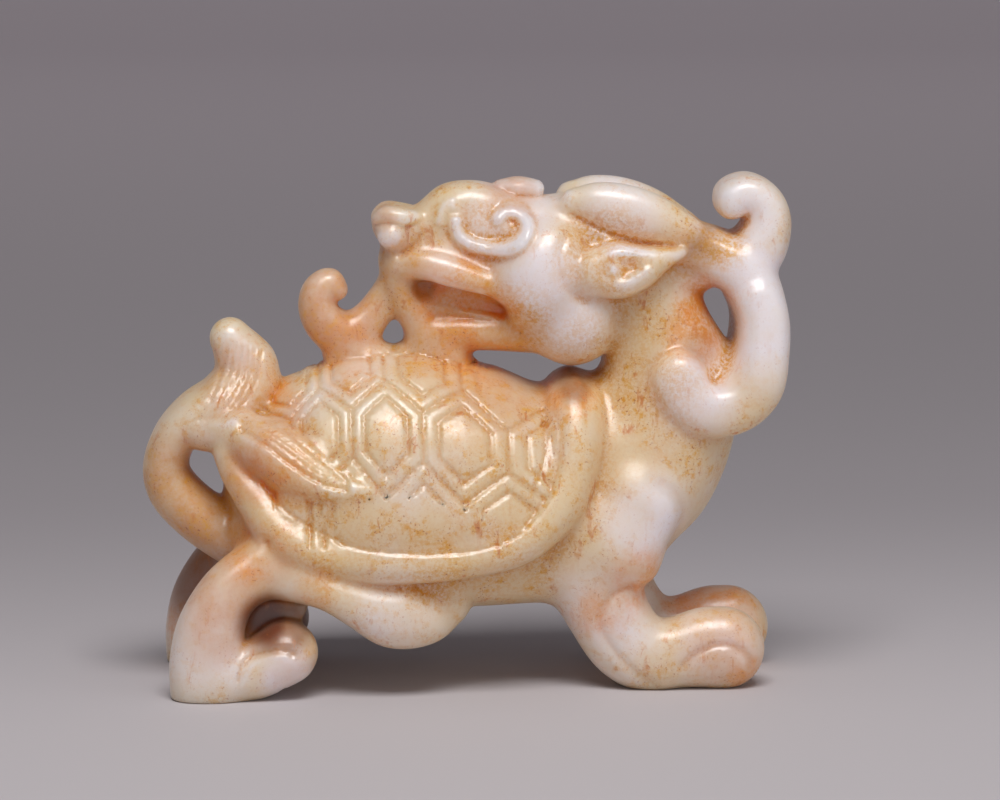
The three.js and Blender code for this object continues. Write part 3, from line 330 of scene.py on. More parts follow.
def add_rear_leg(field, side):
    place = {"side": side, "dx": REAR_FAR if side == FAR else 0}
    y = REAR_Y
    # thigh to the knee, shin with the sole, and rolled paw
    field.limb([[-20.6, 12.4, 2.6, 3.2, y + 1.6], [-17.4, 11.6, 2.2, 3.8, y + 1],
                [-14.4, 10.6, 2, 4.2, y + 0.8], [-11.4, 9.3, 2.5, 4.3, y + 0.8],
                [-8.2, 8.1, 3.3, 4.3, y + 0.9], [-5.2, 8.2, 3.3, 3.9, y + 1.2],
                [-3.2, 9.4, 3, 3, y + 1.8]], k=0.9, power=2.6, **place)
    field.limb([[-21, 12.9, 2.9, 3.4, y + 1.4], [-24.2, 10.4, 2.9, 3.3, y + 0.4], [-26, 7, 3.3, 3.4, y],
                [-26.4, 3.8, 3.7, 3.5, y], [-26.2, 0.9, 3.9, 3.6, y]], k=0.7, power=2.5, **place)
    field.limb([[-25, 1.8, 2.4, 3.5, y], [-21.8, 2.6, 2.8, 3.6, y], [-18.9, 4.3, 3.15, 3.8, y],
                [-18.6, 4.4, 3.1, 3.8, y]], k=0.5, **place)
    # stone left in the hollow between shin and paw
    field.limb([[-22, 8, 2.2, 0.8, y + 1.8], [-18, 8.6, 1.6, 0.8, y + 1.8]], k=0.2, power=2.6, **place)


def add_front_leg(field, side):
    place = {"side": side, "dx": FORE_FAR if side == FAR else 0}
    y = FORE_Y
    field.limb([[16.2, 18.2, 4.4, 3.8, y - 0.1], [13.8, 14.2, 5.2, 4.2, y - 0.5],
                [12.5, 10.6, 4.6, 3.8, y], [13.6, 7.2, 4.1, 3.5, y], [15.6, 4.2, 3.9, 3.4, y],
                [18, 2.6, 3.2, 3.4, y]], k=1.8, **place)
    field.limb([[16.8, 3.2, 3.2, 3.4, y], [20.2, 3.4, 3.5, 3.5, y], [23, 3.8, 4, 3.6, y],
                [25, 3.8, 4.1, 3.6, y]], k=1, power=2.5, **place)


def carve_legs(field):
    # shoulder
    field.engrave([[17.7, 21.1], [19.6, 20], [20.6, 18.3], [20.4, 16.2], [19, 13.6]],
                  width=0.6, depth=0.3, start=2.5)
    for side in SIDES:
        fore = {"sides": (side,), "dx": FORE_FAR if side == FAR else 0}
        rear = {"sides": (side,), "dx": REAR_FAR if side == FAR else 0}
        # ankle, front toes, rear toes
        field.engrave([[16.1, 11.1], [13.7, 9.8], [12.5, 7.7], [12.8, 5.8], [14.3, 3.7], [16.2, 1.8],
                       [18.1, 0.8]], width=0.45, depth=0.3, start=5, **fore)
        field.engrave([[20.4, 2.3], [21.5, 3.5], [23.5, 4.5], [25.6, 4.5], [27.2, 3.4], [27.5, 2.1]],
                      width=0.4, depth=0.35, start=5, **fore)
        field.engrave([[-23.5, 1.9], [-23, 3.4], [-22, 4.5], [-20.4, 5.1], [-18.7, 5.2], [-17.6, 4.6]],
                      width=0.34, depth=0.4, start=9, **rear)
        field.engrave([[-19, 0], [-18.9, 0.5], [-18.8, 1, 0.6]], width=0.3, depth=0.5, start=9, **rear)
        # pit where shin, rim and tail meet
        field.engrave([[-20.6, 16.1], [-20.2, 15.5]], width=0.5, depth=0.7, start=6, **rear)


# Tail: it leaves the rump, loops up round a hole, and parts into a plume that stands up and one that
# lies on each flank

def add_tail(field):
    field.limb([[-20, 12.6, 3, 5.5], [-22.3, 13.4, 2.6, 5], [-25, 15.1, 2.7, 4.6],
                [-27.6, 17.1, 2.7, 4.4], [-29.7, 19.4, 2.6, 4.2], [-30.4, 21.8, 2.3, 4.2],
                [-29.4, 24.8, 2.2, 4.6], [-27.3, 26.8, 2.5, 5.2], [-24.6, 28.2, 2.9, 5.6],
                [-22.8, 29.8, 3.5, 4.6], [-22.4, 31.6, 3.3, 3.6], [-23.1, 33.2, 2.7, 3.2],
                [-23.9, 34.5, 2.1, 2.8]], k=1)
    for side in SIDES:
        field.limb([[-26.5, 25.6, 2, 2.4, -3.2], [-23.6, 25.7, 2.4, 3, -5],
                    [-20.8, 24.7, 2.9, 3.6, -6.8], [-18.2, 23.3, 3.1, 3.6, -8.4],
                    [-15.8, 22, 2.6, 3.2, -9.4], [-13.8, 21.3, 1.9, 2.8, -10.2],
                    [-12, 21, 1.2, 2.4, -10.8], [-10.3, 20.9, 0.6, 2, -11.1]], k=0.6, side=side)


def carve_tail(field):
    # the roll along the lower edge of the side plumes, and the strands above it
    for up, depth in ((0, 0.4), (0.9, 0.25), (1.7, 0.25), (2.5, 0.22)):
        field.engrave([[-23.2, 26.5 + 0.4 * up], [-20.6, 25.3 + 0.8 * up], [-18, 23.5 + up],
                       [-15.2, 21.8 + 0.8 * up], [-12.4, 20.95 + 0.35 * up]],
                      width=0.28, depth=depth, start=4)
    # strands of the upright plume
    for across in np.linspace(0, 1, 6):
        field.engrave([[-24.2 + 3.4 * across, 34.4 - 0.8 * across],
                       [-24.6 + 3.2 * across, 31.9 - 1.3 * across],
                       [-25.9 + 2.8 * across, 28.9 - 0.8 * across],
                       [-27.8 + 2.8 * across, 26.8 + 0.2 * across]], width=0.24, depth=0.2, start=0.5)


# Horn: a thick slab that leaves the back of the head, curls up at its end, and runs down behind the
# neck to end in a curl on each side of it

def add_horn(field):
    field.limb([[14.5, 44.6, 3.2, 5], [18, 44.6, 2.6, 5], [21.4, 43.9, 2.3, 5.2], [24.4, 42.7, 2.6, 5.6],
                [27, 41.2, 2.8, 6.2], [28.2, 39.2, 2.8, 6.8], [28.9, 36.7, 2.6, 7.4],
                [28.9, 34, 2.6, 7.6], [27.8, 31.2, 2.6, 7.6], [26, 29.4, 2.5, 7.4]], k=0.5, power=3.4)
    for side in SIDES:
        lower = curl((24.2, 31.9), radius=(4.5, 4), angle=(-8, -162), thick=(2.5, 2.7), points=6,
                     rest=(3, -5.8))
        sweep = [[28.4, 38.6, 2.2, 3, -4.4], [29, 36, 2.4, 3, -5]]
        bulb = [[20.5, 31.2, 2.6, 3, -5.8]]
        field.limb(sweep + lower + bulb, k=0.6, side=side, power=3)
    field.limb([[26.8, 41.2, 2.4, 5.6], [28.6, 43.2, 2.8, 5.4], [29.6, 45.8, 2.4, 5],
                [29.2, 47.8, 2.1, 4.6], [27.7, 48.9, 1.9, 4.4], [26.3, 48.5, 1.9, 4.4],
                [26, 47.9, 1.7, 4.4]], k=0.5, power=3)
    # web to the neck, above the slot
    field.limb([[18.6, 41, 3.2, 4.4], [22.8, 40.6, 1.7, 4]], k=0.8)


# Head

def add_head(field):
    # mane over the neck
    field.limb([[9.5, 46.4, 2.2, 4.2], [13, 46.8, 2.3, 4.4], [17, 46.2, 2.1, 4.2], [21, 44.8, 1.7, 3.8]],
               k=0.7)
    # skull, snout and nose
    field.limb([[13.5, 43.4, 4.4, 5], [9, 43.4, 5, 5.2], [4.5, 44, 4.9, 4.8], [0.6, 45, 4.4, 4.2],
                [-2.2, 45.4, 3.3, 3.6]], power=2.5)
    field.limb([[3, 42.2, 3, 4.6], [-1.5, 42.8, 2.7, 4.2], [-5, 42.8, 2.7, 3.8], [-6.6, 42.6, 2.4, 3.2]],
               k=1, power=2.5)
    field.limb([[-4, 45, 2.2, 3.2], [-7.7, 45.8, 2.1, 3.3]], k=0.8)
    # brow
    field.limb([[-3.6, 46.9, 1.7, 3], [-2, 48, 1.9, 3.4], [0.6, 48.2, 1.9, 3.6], [3, 47.4, 2, 3.6]],
               k=0.8)
    # lower jaw, the front of the mouth with the beard that reaches the shell, and what fills the mouth
    field.limb([[10.5, 36, 3.4, 5], [6, 35.4, 2.5, 4.6], [2, 35.2, 2, 4], [-1.8, 35.2, 1.9, 3.6],
                [-4.4, 34.8, 2, 3.2]], k=1, power=2.5)
    field.limb([[-6.9, 41.8, 2.2, 3.3], [-6.9, 40.2, 1.9, 3.3], [-6.2, 38.3, 1.9, 3.2],
                [-5, 36, 1.8, 3.2], [-3.6, 33.8, 2.4, 3.4], [-2.4, 33, 2.4, 3.6]], k=0.6, power=2.5)
    field.limb([[9, 38.6, 3, 3.8], [2, 38.4, 2.4, 3.4], [-4, 38.4, 2.4, 2.6]], k=0.5, power=2.5)
    for side in SIDES:
        add_face(field, side)


def add_face(field, side):
    """What the head has on each side."""
    # mane lobe
    field.limb([[10.2, 48.3, 1.4, 1.6, -3.5], [12.4, 48.1, 2.2, 2.3, -3.7], [15.3, 47.4, 2.6, 2.4, -4],
                [18.4, 46.4, 2.4, 2.3, -4], [21.6, 45, 1.7, 2.1, -3.8]], k=0.4, side=side)
    # upper lip
    field.limb([[-6.9, 42, 1.3, 1.2, -2.8], [-4.8, 42, 1.5, 1.3, -3.7], [-2.4, 41.5, 1.5, 1.3, -4.2],
                [0.2, 40.7, 1.3, 1.2, -4.5], [2.4, 39.9, 1, 1, -4.7], [3.8, 38.9, 0.6, 0.9, -4.9]],
               k=0.6, side=side)
    # nostril, and the wing that folds over it
    field.ball((-7.9, side * 3, 44.9), (1.5, 1.5, 1.3), k=0.4)
    field.limb([[-9.2, 46.5, 0.7, 1.2, -1.8], [-8.3, 47, 0.9, 1.4, -2.6], [-6.8, 46.8, 0.9, 1.3, -3],
                [-5.6, 46.9, 0.6, 1, -3]], k=0.5, side=side)
    # cheek and jowl
    field.ball((7, side * 4.3, 41), (4.8, 3.5, 5.6), k=1, tilt=-15)
    field.ball((10, side * 3.4, 36.5), (4.7, 3.2, 4.5), k=1)
    # ear
    field.limb([[12.4, 41.5, 2.4, 2.4, -5.3], [14.4, 41.7, 2.8, 2.5, -5.7], [16.6, 42.1, 2.2, 2.4, -5.7],
                [18.8, 42.9, 1.2, 2.2, -5.3], [20.8, 43.5, 0.5, 2, -4.8]], k=0.3, side=side, power=2.8)


def carve_head(field):
    # bump on the crown
    field.limb([[3.1, 49.3, 0.9, 1.6], [4.8, 49.5, 1, 2.2], [6.5, 49.3, 0.9, 1.6]], k=0.2)
    # eye socket with the spiral of the brow raised in it, and the eyelid
    spiral = [[-1.6, 47.3], [-1.6, 45.8], [-0.9, 44.7], [0.3, 44.1], [2.1, 43.8], [3.5, 44], [4.6, 44.6],
              [5.3, 45.6], [5.3, 46.6], [4.6, 47.3], [3.5, 47.4], [2.7, 46.8], [2.9, 46.1]]
    field.engrave(spiral, width=1.2, depth=0.4, start=2.5)
    field.engrave(spiral, width=0.68, depth=-1.1, start=2.5, power=3)
    field.engrave([[-3, 45.6], [-3, 46.8], [-2.5, 47.9], [-1.2, 48.5]], width=0.6, depth=-0.5, start=2,
                  power=3)
    # creases over and under the nostril
    field.engrave([[-9.6, 46], [-8, 46.3], [-6.5, 45.9], [-5.4, 46.2]], width=0.22, depth=0.2, start=1.5)
    field.engrave([[-7.3, 42.9], [-6.3, 43.5], [-5.4, 44.3], [-5, 45.2]], width=0.26, depth=0.3, start=2)
    # mouth, deepest behind its front, and lower lip
    field.engrave([[-5, 39.6], [-4.2, 39.6], [-3.4, 39.3]], width=0.8, depth=0.8, start=2, power=3)
    field.engrave([[-4.4, 39.1], [-1.7, 38.5], [1, 38], [3.8, 37.4, 0.8]],
                  width=0.8, depth=0.6, start=2.4, power=3)
    field.engrave([[-1.4, 37.4], [0.4, 37.1], [2.4, 36.7]], width=0.25, depth=-0.25, start=2)
    # hollow of the ear with a knob in it, and the lines round it
    field.engrave([[13.6, 42], [14.8, 42.2], [17, 42.7, 0.5]], width=1.15, depth=0.95, start=4, power=4)
    field.engrave([[13.8, 42], [13.9, 42], [14, 42]], width=0.65, depth=-0.6, start=4, power=3)
    field.engrave([[9.3, 45.3], [8.6, 43.8], [8.5, 42.1], [8.9, 40.6], [9.8, 39.4], [11.6, 38.2]],
                  width=0.45, depth=0.22, start=4)
    field.engrave([[9.6, 47.3], [12.4, 45.8], [15.3, 44.7], [18.3, 44.2], [20.4, 43.9]],
                  width=0.3, depth=0.2, start=3.5)


# Cloud: a puff of breath that curls up from the shell and joins the snout

def add_cloud(field):
    field.limb([[-13.2, 39.3, 1.1, 2], [-14, 39.9, 1.6, 2.2], [-15, 38.9, 1.9, 2.5],
                [-15, 37.2, 2.1, 2.8], [-13.9, 35.6, 2.3, 3], [-12.2, 34.8, 2.3, 3],
                [-10.8, 35.6, 2.1, 2.6], [-9.6, 36.9, 1.8, 2.2], [-8.5, 38.4, 1.7, 2],
                [-7.8, 39.8, 1.5, 2]], k=0.4, power=2.5)
    field.limb([[-12.6, 33, 2, 3], [-10.6, 32.6, 2.3, 3.2], [-7.6, 32, 1.6, 3],
                [-4, 32.8, 2.2, 3.2]], k=0.8, power=2.5)


def sculpt():
    field = Field(BOUNDS, GRID)
    shell = add_shell(field)
    add_body(field)
    for side in SIDES:
        add_rear_leg(field, side)
        add_front_leg(field, side)
    add_tail(field)
    add_horn(field)
    add_head(field)
    add_cloud(field)
    field.soften(ROUNDING)
    carve_shell(field, shell)
    carve_legs(field)
    carve_tail(field)
    carve_head(field)
    return field


# Skin of the field as a mesh

CORNERS = [(i, j, k) for i in (0, 1) for j in (0, 1) for k in (0, 1)]


def skin(field):
    """Quads of the zero surface, with one point in each cell that it passes through."""
    d = np.maximum(field.d, -field.axes[2])  # the soles are cut flat
    inside = d < 0
    nx, ny, nz = d.shape
    filled = sum(inside[i:nx - 1 + i, j:ny - 1 + j, k:nz - 1 + k].astype(np.uint8) for i, j, k in CORNERS)
    cells = np.argwhere((filled > 0) & (filled < 8))
    number = np.full(filled.shape, -1, np.int32)
    number[tuple(cells.T)] = np.arange(len(cells))
    total = np.zeros((len(cells), 3))
    count = np.zeros(len(cells))
    for corner in CORNERS:
        for axis in range(3):
            if corner[axis]:
                continue
            start = cells + corner
            end = start + np.eye(3, dtype=int)[axis]
            a, b = d[tuple(start.T)], d[tuple(end.T)]
            cross = (a < 0) != (b < 0)
            t = np.where(cross, a / np.where(cross, a - b, 1), 0)
            for n in range(3):
                total[:, n] += np.where(cross, corner[n] + (t if n == axis else 0), 0)
            count += cross
    points = field.low + (cells + total / count[:, None]) * field.step
    quads = []
    for axis in range(3):
        first, second = (axis + 1) % 3, (axis + 2) % 3
        a = np.take(inside, range(d.shape[axis] - 1), axis)
        b = np.take(inside, range(1, d.shape[axis]), axis)
        edges = np.argwhere(a != b)
        flip = a[tuple(edges.T)]
        ring = []
        for back in ((1, 1), (0, 1), (0, 0), (1, 0)):
            cell = edges.copy()
            cell[:, first] -= back[0]
            cell[:, second] -= back[1]
            ring.append(number[tuple(cell.T)])
        ring = np.stack(ring, 1)
        ring[~flip] = ring[~flip][:, ::-1]
        quads.append(ring)
    return points, np.vstack(quads)


def sample(grid, low, step, points):
    """Values of a grid at points, and their slopes."""
    place = (points - low) / step
    base = np.clip(np.floor(place).astype(int), 0, np.array(grid.shape) - 2)
    tx, ty, tz = (place - base).T
    v = {c: grid[tuple((base + c).T)].astype(float) for c in CORNERS}

    def between(a, b, t):
        return a + (b - a) * t

    rows = {(i, j): between(v[i, j, 0], v[i, j, 1], tz) for i in (0, 1) for j in (0, 1)}
    ends = [between(rows[i, 0], rows[i, 1], ty) for i in (0, 1)]
    value = between(ends[0], ends[1], tx)
    slope_x = ends[1] - ends[0]
    slope_y = between(rows[0, 1] - rows[0, 0], rows[1, 1] - rows[1, 0], tx)
    rises = {(i, j): v[i, j, 1] - v[i, j, 0] for i in (0, 1) for j in (0, 1)}
    slope_z = between(between(rises[0, 0], rises[0, 1], ty), between(rises[1, 0], rises[1, 1], ty), tx)
    return value, np.stack([slope_x, slope_y, slope_z], 1) / step


def settled(field, points):
    """Points moved onto the field's own zero surface, with the soles kept flat."""
    for _ in range(2):
        value, slope = sample(field.d, field.low, field.step, points)
        move = slope * (value / np.maximum((slope ** 2).sum(1), 0.2))[:, None]
        move[points[:, 2] < SKIN_GRID] = 0
        points = points - np.clip(move, -SKIN_GRID, SKIN_GRID)
    points[:, 2] = np.maximum(points[:, 2], 0)
    return points


def as_mesh(points, quads):
    """A mesh of quads, still in millimetres."""
    mesh = bpy.data.meshes.new("skin")
    mesh.vertices.add(len(points))
    mesh.vertices.foreach_set("co", points.ravel())
    mesh.loops.add(quads.size)
    mesh.loops.foreach_set("vertex_index", quads.ravel().astype(np.int32))
    mesh.polygons.add(len(quads))
    mesh.polygons.foreach_set("loop_start", np.arange(0, quads.size, 4, dtype=np.int32))
    mesh.update(calc_edges=True)
    return mesh


def thinned(mesh):
    """A copy of a mesh with fewer triangles in its flattest places, and its points."""
    holder = bpy.data.objects.new("skin", mesh)
    bpy.context.scene.collection.objects.link(holder)
    holder.modifiers.new("thin", "DECIMATE").ratio = TRIANGLES / (2 * len(mesh.polygons))
    thin = bpy.data.meshes.new_from_object(holder.evaluated_get(bpy.context.evaluated_depsgraph_get()))
    bpy.data.objects.remove(holder)
    points = np.empty(3 * len(thin.vertices), np.float32)
    thin.vertices.foreach_get("co", points)
    # thinning can leave a point a hair under the ground
    return thin, np.maximum(points.reshape(-1, 3).astype(float), (-np.inf, -np.inf, 0))


# Staining: how hollow the skin is, where the stone is milky, flushed or stained, and where shade is
# painted on it

CREASE, HOLLOW = 0.5, 1.6  # sizes of the fine and the broad hollows that stains gather in


def cavity(field, sigma, skip, points):
    """How much stone stands round a point, beyond what a flat skin has; sigma in millimetres."""
    coarse = field.d[::skip, ::skip, ::skip]
    step = field.step * skip
    soft = blurred(np.clip(coarse, -REACH, REACH), sigma / step)
    own, _ = sample(coarse, field.low, step, points)
    near, _ = sample(soft, field.low, step, points)
    return (own - near) / sigma


def patches(points, spots):
    """0 to 1 from soft balls. Spots: x, z, radius, strength and, where it is on one only, the side."""
    out = np.zeros(len(points))
    for x, z, radius, strength, *side in spots:
        away = np.hypot(points[:, 0] - x, points[:, 2] - z) / radius
        spot = strength * smooth_step(1.25, 0.4, away)
        if side:
            spot = spot * smooth_step(-1.5, 1.5, side[0] * points[:, 1])
        out = np.maximum(out, spot)
    return out


STAINS_AND_SHADE = {
    # painted shade in the dark pits of the mouth, collar and horn and behind the rear paw, and on what
    # lies in the far side's shade
    "painted_shade": [
        (-5, 39.6, 1.6, 0.4), (10, 30.4, 2, 0.6), (23, 44.5, 2.2, 0.25), (22.6, 34, 2, 0.25),
        (-20.6, 7.8, 3, 1), (-18, 7.4, 2.6, 0.7), (-18.5, 5.2, 4, 0.85, FAR), (-27.5, 9, 5, 0.6, FAR)],
    "blush": [
        # snout, crown and chin
        (-6.5, 41.5, 4, 0.6), (-1, 40.5, 4.5, 0.2), (-9, 47, 2, 0.7), (4, 49.8, 3, 0.7), (-4, 35, 5, 0.6),
        # cloud, top of the shell, horn
        (-13.5, 37.5, 6, 1), (2, 31.5, 7, 0.6), (22, 43.5, 3, 0.4),
        # tail and its plumes
        (-22.5, 22, 3.4, 1), (-27, 17, 6, 0.9), (-29, 21, 5, 0.8), (-19.5, 27, 4, 0.5),
        (-23.5, 31, 4, 0.5),
        # legs
        (-25, 11, 5, 0.7), (-25.5, 7.5, 4, 0.5), (-17, 4, 4, 0.3), (26, 4.5, 6, 0.5)],
    "rust": [
        # mouth and chin
        (-2, 38.8, 5, 1), (2.5, 38, 2.6, 0.9), (1, 35, 5, 0.8),
        # horn's slot, collar, foot of the cloud
        (22.6, 38, 3, 0.9), (22, 35, 3, 0.8), (9.6, 30, 3, 0.8), (-12.5, 33, 4, 0.4),
        # under the plumes and the tail
        (-18.5, 28.8, 2, 0.6), (-19.5, 22.5, 4.5, 0.8), (-21, 14.5, 4, 0.7),
        # legs; the first spot, in the hollow between shin and paw, is painted shade there
        (-20.5, 8, 3.2, 1), (-16, 11.2, 2.4, 0.6), (-28, 8, 7, 0.8, FAR),
        (12.5, 8, 3, 0.5), (16.5, 11, 4, 0.8), (27.5, 1.5, 2.5, 0.7), (24, 9, 6, 0.95, FAR)],
    "milk": [
        # cheek, jowl, forehead, mane, ear, lip, nostril
        (7, 41.5, 5, 1), (9.5, 37, 5, 0.9), (2.5, 45.5, 5, 0.9), (5, 48, 5, 0.9), (14.5, 47, 5, 0.9),
        (13.5, 42, 4, 0.5), (-2.5, 41.6, 2.5, 0.7), (-8.2, 45, 2.2, 0.5),
        # horn
        (28.5, 38, 9, 1), (27, 47, 5, 1), (22, 30, 5, 1),
        # shoulder and legs
        (16.5, 17, 5, 0.8), (13, 9, 6, 0.5), (23.5, 4, 4, 0.6),
        (-7.5, 9.5, 6, 0.5), (-27, 6, 7, 0.8), (-18.5, 2.5, 3.4, 1),
        # tail
        (-23.5, 33.5, 2.5, 0.4), (-28.5, 25, 4, 0.2)],
    "gold": [
        # brow, ear, jaw and mouth
        (2, 45.8, 4, 0.6), (13, 43.5, 6, 0.7), (9, 33.5, 5, 0.5), (4, 36, 5, 0.9), (-1, 38.5, 5, 1),
        # horn's root and slot
        (20, 43, 4, 0.5), (24.3, 44.6, 3.4, 1), (23, 38, 4, 0.6), (22.5, 37, 3.5, 1),
        # neck and chest
        (16, 33, 8, 0.6), (19, 26, 5, 0.4), (12, 22, 5, 0.4),
        # shell and belly
        (0, 21, 7, 0.4), (-17, 20, 7, 0.5), (-14, 13.5, 5, 0.7), (-4, 12.8, 5, 0.8), (4, 13.5, 6, 0.7),
        # tail
        (-28, 19, 7, 0.6), (-22, 28, 5, 0.4)],
}


def add_attribute(mesh, name, values):
    layer = mesh.attributes.new(name, "FLOAT", "POINT")
    layer.data.foreach_set("value", np.clip(values, 0, 1).astype(np.float32))


# Jade

def srgb(r, g, b):
    """A colour picked as 0 to 255 values, in the renderer's linear ones."""
    return tuple((v / 255 / 12.92 if v / 255 < 0.04045 else ((v / 255 + 0.055) / 1.055) ** 2.4)
                 for v in (r, g, b)) + (1.0,)


CREAM = srgb(229, 205, 169)
MILKY = srgb(240, 230, 232)
OCHRE = srgb(222, 162, 50)
AMBER = srgb(232, 140, 24)
TAWNY = srgb(208, 130, 60)
RUSSET = srgb(176, 90, 44)
# painted shade for the dark pits and the far side
SHADE_UMBER = srgb(120, 66, 40)
PINK = srgb(212, 158, 120)

# The stone's markings from broad to fine, as scales of noise in the carving's metres
CLOUDS, PATCHES, VEINS, BLOTS, GRAINS, SPECKS = 90, 300, 900, 1100, 2400, 4200


class Nodes:
    """Short calls for the nodes of one material."""

    def __init__(self, name):
        self.material = bpy.data.materials.new(name)
        self.material.use_nodes = True
        self.tree = self.material.node_tree
        self.shader = self.tree.nodes["Principled BSDF"]

    def put(self, socket, value):
        if isinstance(value, bpy.types.NodeSocket):
            self.tree.links.new(value, socket)
        else:
            socket.default_value = value

    def attribute(self, name):
        node = self.tree.nodes.new("ShaderNodeAttribute")
        node.attribute_name = name
        return node.outputs["Fac"]

    def place(self):
        return self.tree.nodes.new("ShaderNodeTexCoord").outputs["Object"]

    def stretched(self, vector, scale):
        node = self.tree.nodes.new("ShaderNodeMapping")
        node.inputs["Scale"].default_value = scale
        self.put(node.inputs["Vector"], vector)
        return node.outputs["Vector"]

    def noise(self, vector, scale, detail, roughness=0.55, distortion=0.0):
        node = self.tree.nodes.new("ShaderNodeTexNoise")
        self.put(node.inputs["Vector"], vector)
        node.inputs["Scale"].default_value = scale
        node.inputs["Detail"].default_value = detail
        node.inputs["Roughness"].default_value = roughness
        node.inputs["Distortion"].default_value = distortion
        return node.outputs["Fac"]

    def math(self, operation, a, b, clamp=False):
        node = self.tree.nodes.new("ShaderNodeMath")
        node.operation = operation
        node.use_clamp = clamp
        self.put(node.inputs[0], a)
        self.put(node.inputs[1], b)
        return node.outputs[0]

    def plus(self, a, b, clamp=False):
        return self.math("ADD", a, b, clamp)

    def times(self, a, b, clamp=False):
        return self.math("MULTIPLY", a, b, clamp)

    def less(self, a, b):
        return self.math("SUBTRACT", a, b)

    def ramp(self, value, low, high, to_low=0.0, to_high=1.0):
        node = self.tree.nodes.new("ShaderNodeMapRange")
        node.interpolation_type = "SMOOTHSTEP"
        self.put(node.inputs["Value"], value)
        node.inputs["From Min"].default_value = low
        node.inputs["From Max"].default_value = high
        node.inputs["To Min"].default_value = to_low
        node.inputs["To Max"].default_value = to_high
        return node.outputs["Result"]

    def mix(self, factor, a, b):
        """A colour between two; the node's sockets for colours are its seventh, eighth and third."""
        node = self.tree.nodes.new("ShaderNodeMix")
        node.data_type = "RGBA"
        self.put(node.inputs[0], factor)
        self.put(node.inputs[6], a)
        self.put(node.inputs[7], b)
        return node.outputs[2]

    def bump(self, height, strength, distance):
        node = self.tree.nodes.new("ShaderNodeBump")
        node.inputs["Strength"].default_value = strength
        node.inputs["Distance"].default_value = distance
        self.put(node.inputs["Height"], height)
        return node.outputs["Normal"]


def honey(n, place, patchy):
    """Honey stone with a milky share in clouds and where it is polished, and a blush. Gives the colour
    and how white it is."""
    cloudy = n.noise(place, CLOUDS, 3)
    white = n.plus(n.times(n.attribute("milk"), n.ramp(patchy, 0.25, 0.7, 0.75, 1)),
                   n.ramp(cloudy, 0.45, 0.75, 0, 0.5))
    white = n.plus(white, n.times(n.attribute("proud"), 0.4), clamp=True)
    flush = n.times(n.attribute("blush"), n.ramp(patchy, 0.3, 0.6, 0.5, 1))
    return n.mix(flush, n.mix(white, CREAM, MILKY), PINK), white


def dusted(n, colour, white, place, patchy, grainy):
    """Ochre dust in the hollows and in veils, worn off what stands proud, and blots on the honey."""
    mottled = n.noise(place, BLOTS, 5, 0.72)
    veil = n.times(n.ramp(patchy, 0.42, 0.66), n.less(1.1, white))
    veil = n.math("MAXIMUM", n.times(n.attribute("gold"), n.ramp(patchy, 0.3, 0.6, 0.35, 1)),
                  n.times(veil, 0.4))
    stain = n.plus(n.times(n.attribute("hollow"), 0.8), n.times(n.attribute("crease"), 0.5))
    stain = n.plus(stain, n.times(veil, 0.85), clamp=True)
    stain = n.times(stain, n.less(1.0, n.times(n.attribute("proud"), 0.85)))
    dust = n.times(stain, n.ramp(grainy, 0.4, 0.6, 0.3, 1.1), clamp=True)
    blots = n.plus(veil, n.times(n.less(1.15, white), 0.8))
    blots = n.times(blots, n.ramp(patchy, 0.4, 0.58, 0.3, 1))
    blots = n.times(blots, n.ramp(mottled, 0.46, 0.64, 0, 0.7), clamp=True)
    return n.mix(n.math("MAXIMUM", dust, blots), colour, OCHRE)


def rusted_and_shaded(n, colour, patchy, grainy):
    """Amber where it is rusty, most in the hollows, and umber painted shade in the dark pits and on the
    far side.
    """
    share = n.plus(n.times(n.attribute("hollow"), 1.2), n.ramp(patchy, 0.4, 0.7, 0.35, 0.9), clamp=True)
    rusty = n.times(n.attribute("rust"), share, clamp=True)
    colour = n.mix(n.times(rusty, n.ramp(grainy, 0.35, 0.6, 0.8, 1)), colour, AMBER)
    # the umber laid over the rust is painted shade
    return n.mix(n.attribute("painted_shade"), colour, SHADE_UMBER)


def specked(n, colour, white, place, patchy):
    """Tawny streaks and russet dots, fewer on white."""
    veins = n.noise(n.stretched(place, (1, 1, 0.3)), VEINS, 4, 0.65, 0.6)
    specks = n.noise(place, SPECKS, 2, 0.5)
    bare = n.less(1.0, n.times(white, 0.75))
    streaks = n.times(n.ramp(veins, 0.57, 0.67), n.ramp(patchy, 0.45, 0.6, 0.1, 0.9))
    dots = n.times(n.ramp(specks, 0.62, 0.7), n.ramp(patchy, 0.42, 0.6, 0.1, 0.8))
    colour = n.mix(n.times(streaks, bare), colour, TAWNY)
    return n.mix(n.times(dots, bare), colour, RUSSET)


def jade():
    """The carving's material: the stone's colours, one over another, and a polish that lets light in."""
    n = Nodes("jade")
    place = n.place()
    patchy = n.noise(place, PATCHES, 5, 0.62)
    grainy = n.noise(place, GRAINS, 4, 0.75)
    colour, white = honey(n, place, patchy)
    colour = dusted(n, colour, white, place, patchy, grainy)
    colour = rusted_and_shaded(n, colour, patchy, grainy)
    colour = specked(n, colour, white, place, patchy)

    shader = n.shader
    n.put(shader.inputs["Base Color"], colour)
    n.put(shader.inputs["Roughness"], n.ramp(grainy, 0.3, 0.7, 0.3, 0.4))
    shader.inputs["IOR"].default_value = 1.61
    shader.inputs["Specular IOR Level"].default_value = 0.75
    shader.inputs["Sheen Weight"].default_value = 0.2
    shader.inputs["Sheen Roughness"].default_value = 0.4
    shader.inputs["Sheen Tint"].default_value = (1, 0.85, 0.68, 1)
    shader.inputs["Subsurface Weight"].default_value = 1.0
    shader.inputs["Subsurface Radius"].default_value = (0.85, 0.92, 1.0)
    shader.inputs["Subsurface Scale"].default_value = 5 * MM
    # the polish is a little uneven
    fine = n.plus(n.times(patchy, 0.5), n.times(grainy, 0.14))
    n.put(shader.inputs["Normal"], n.bump(fine, 0.3, 0.25 * MM))
    return n.material


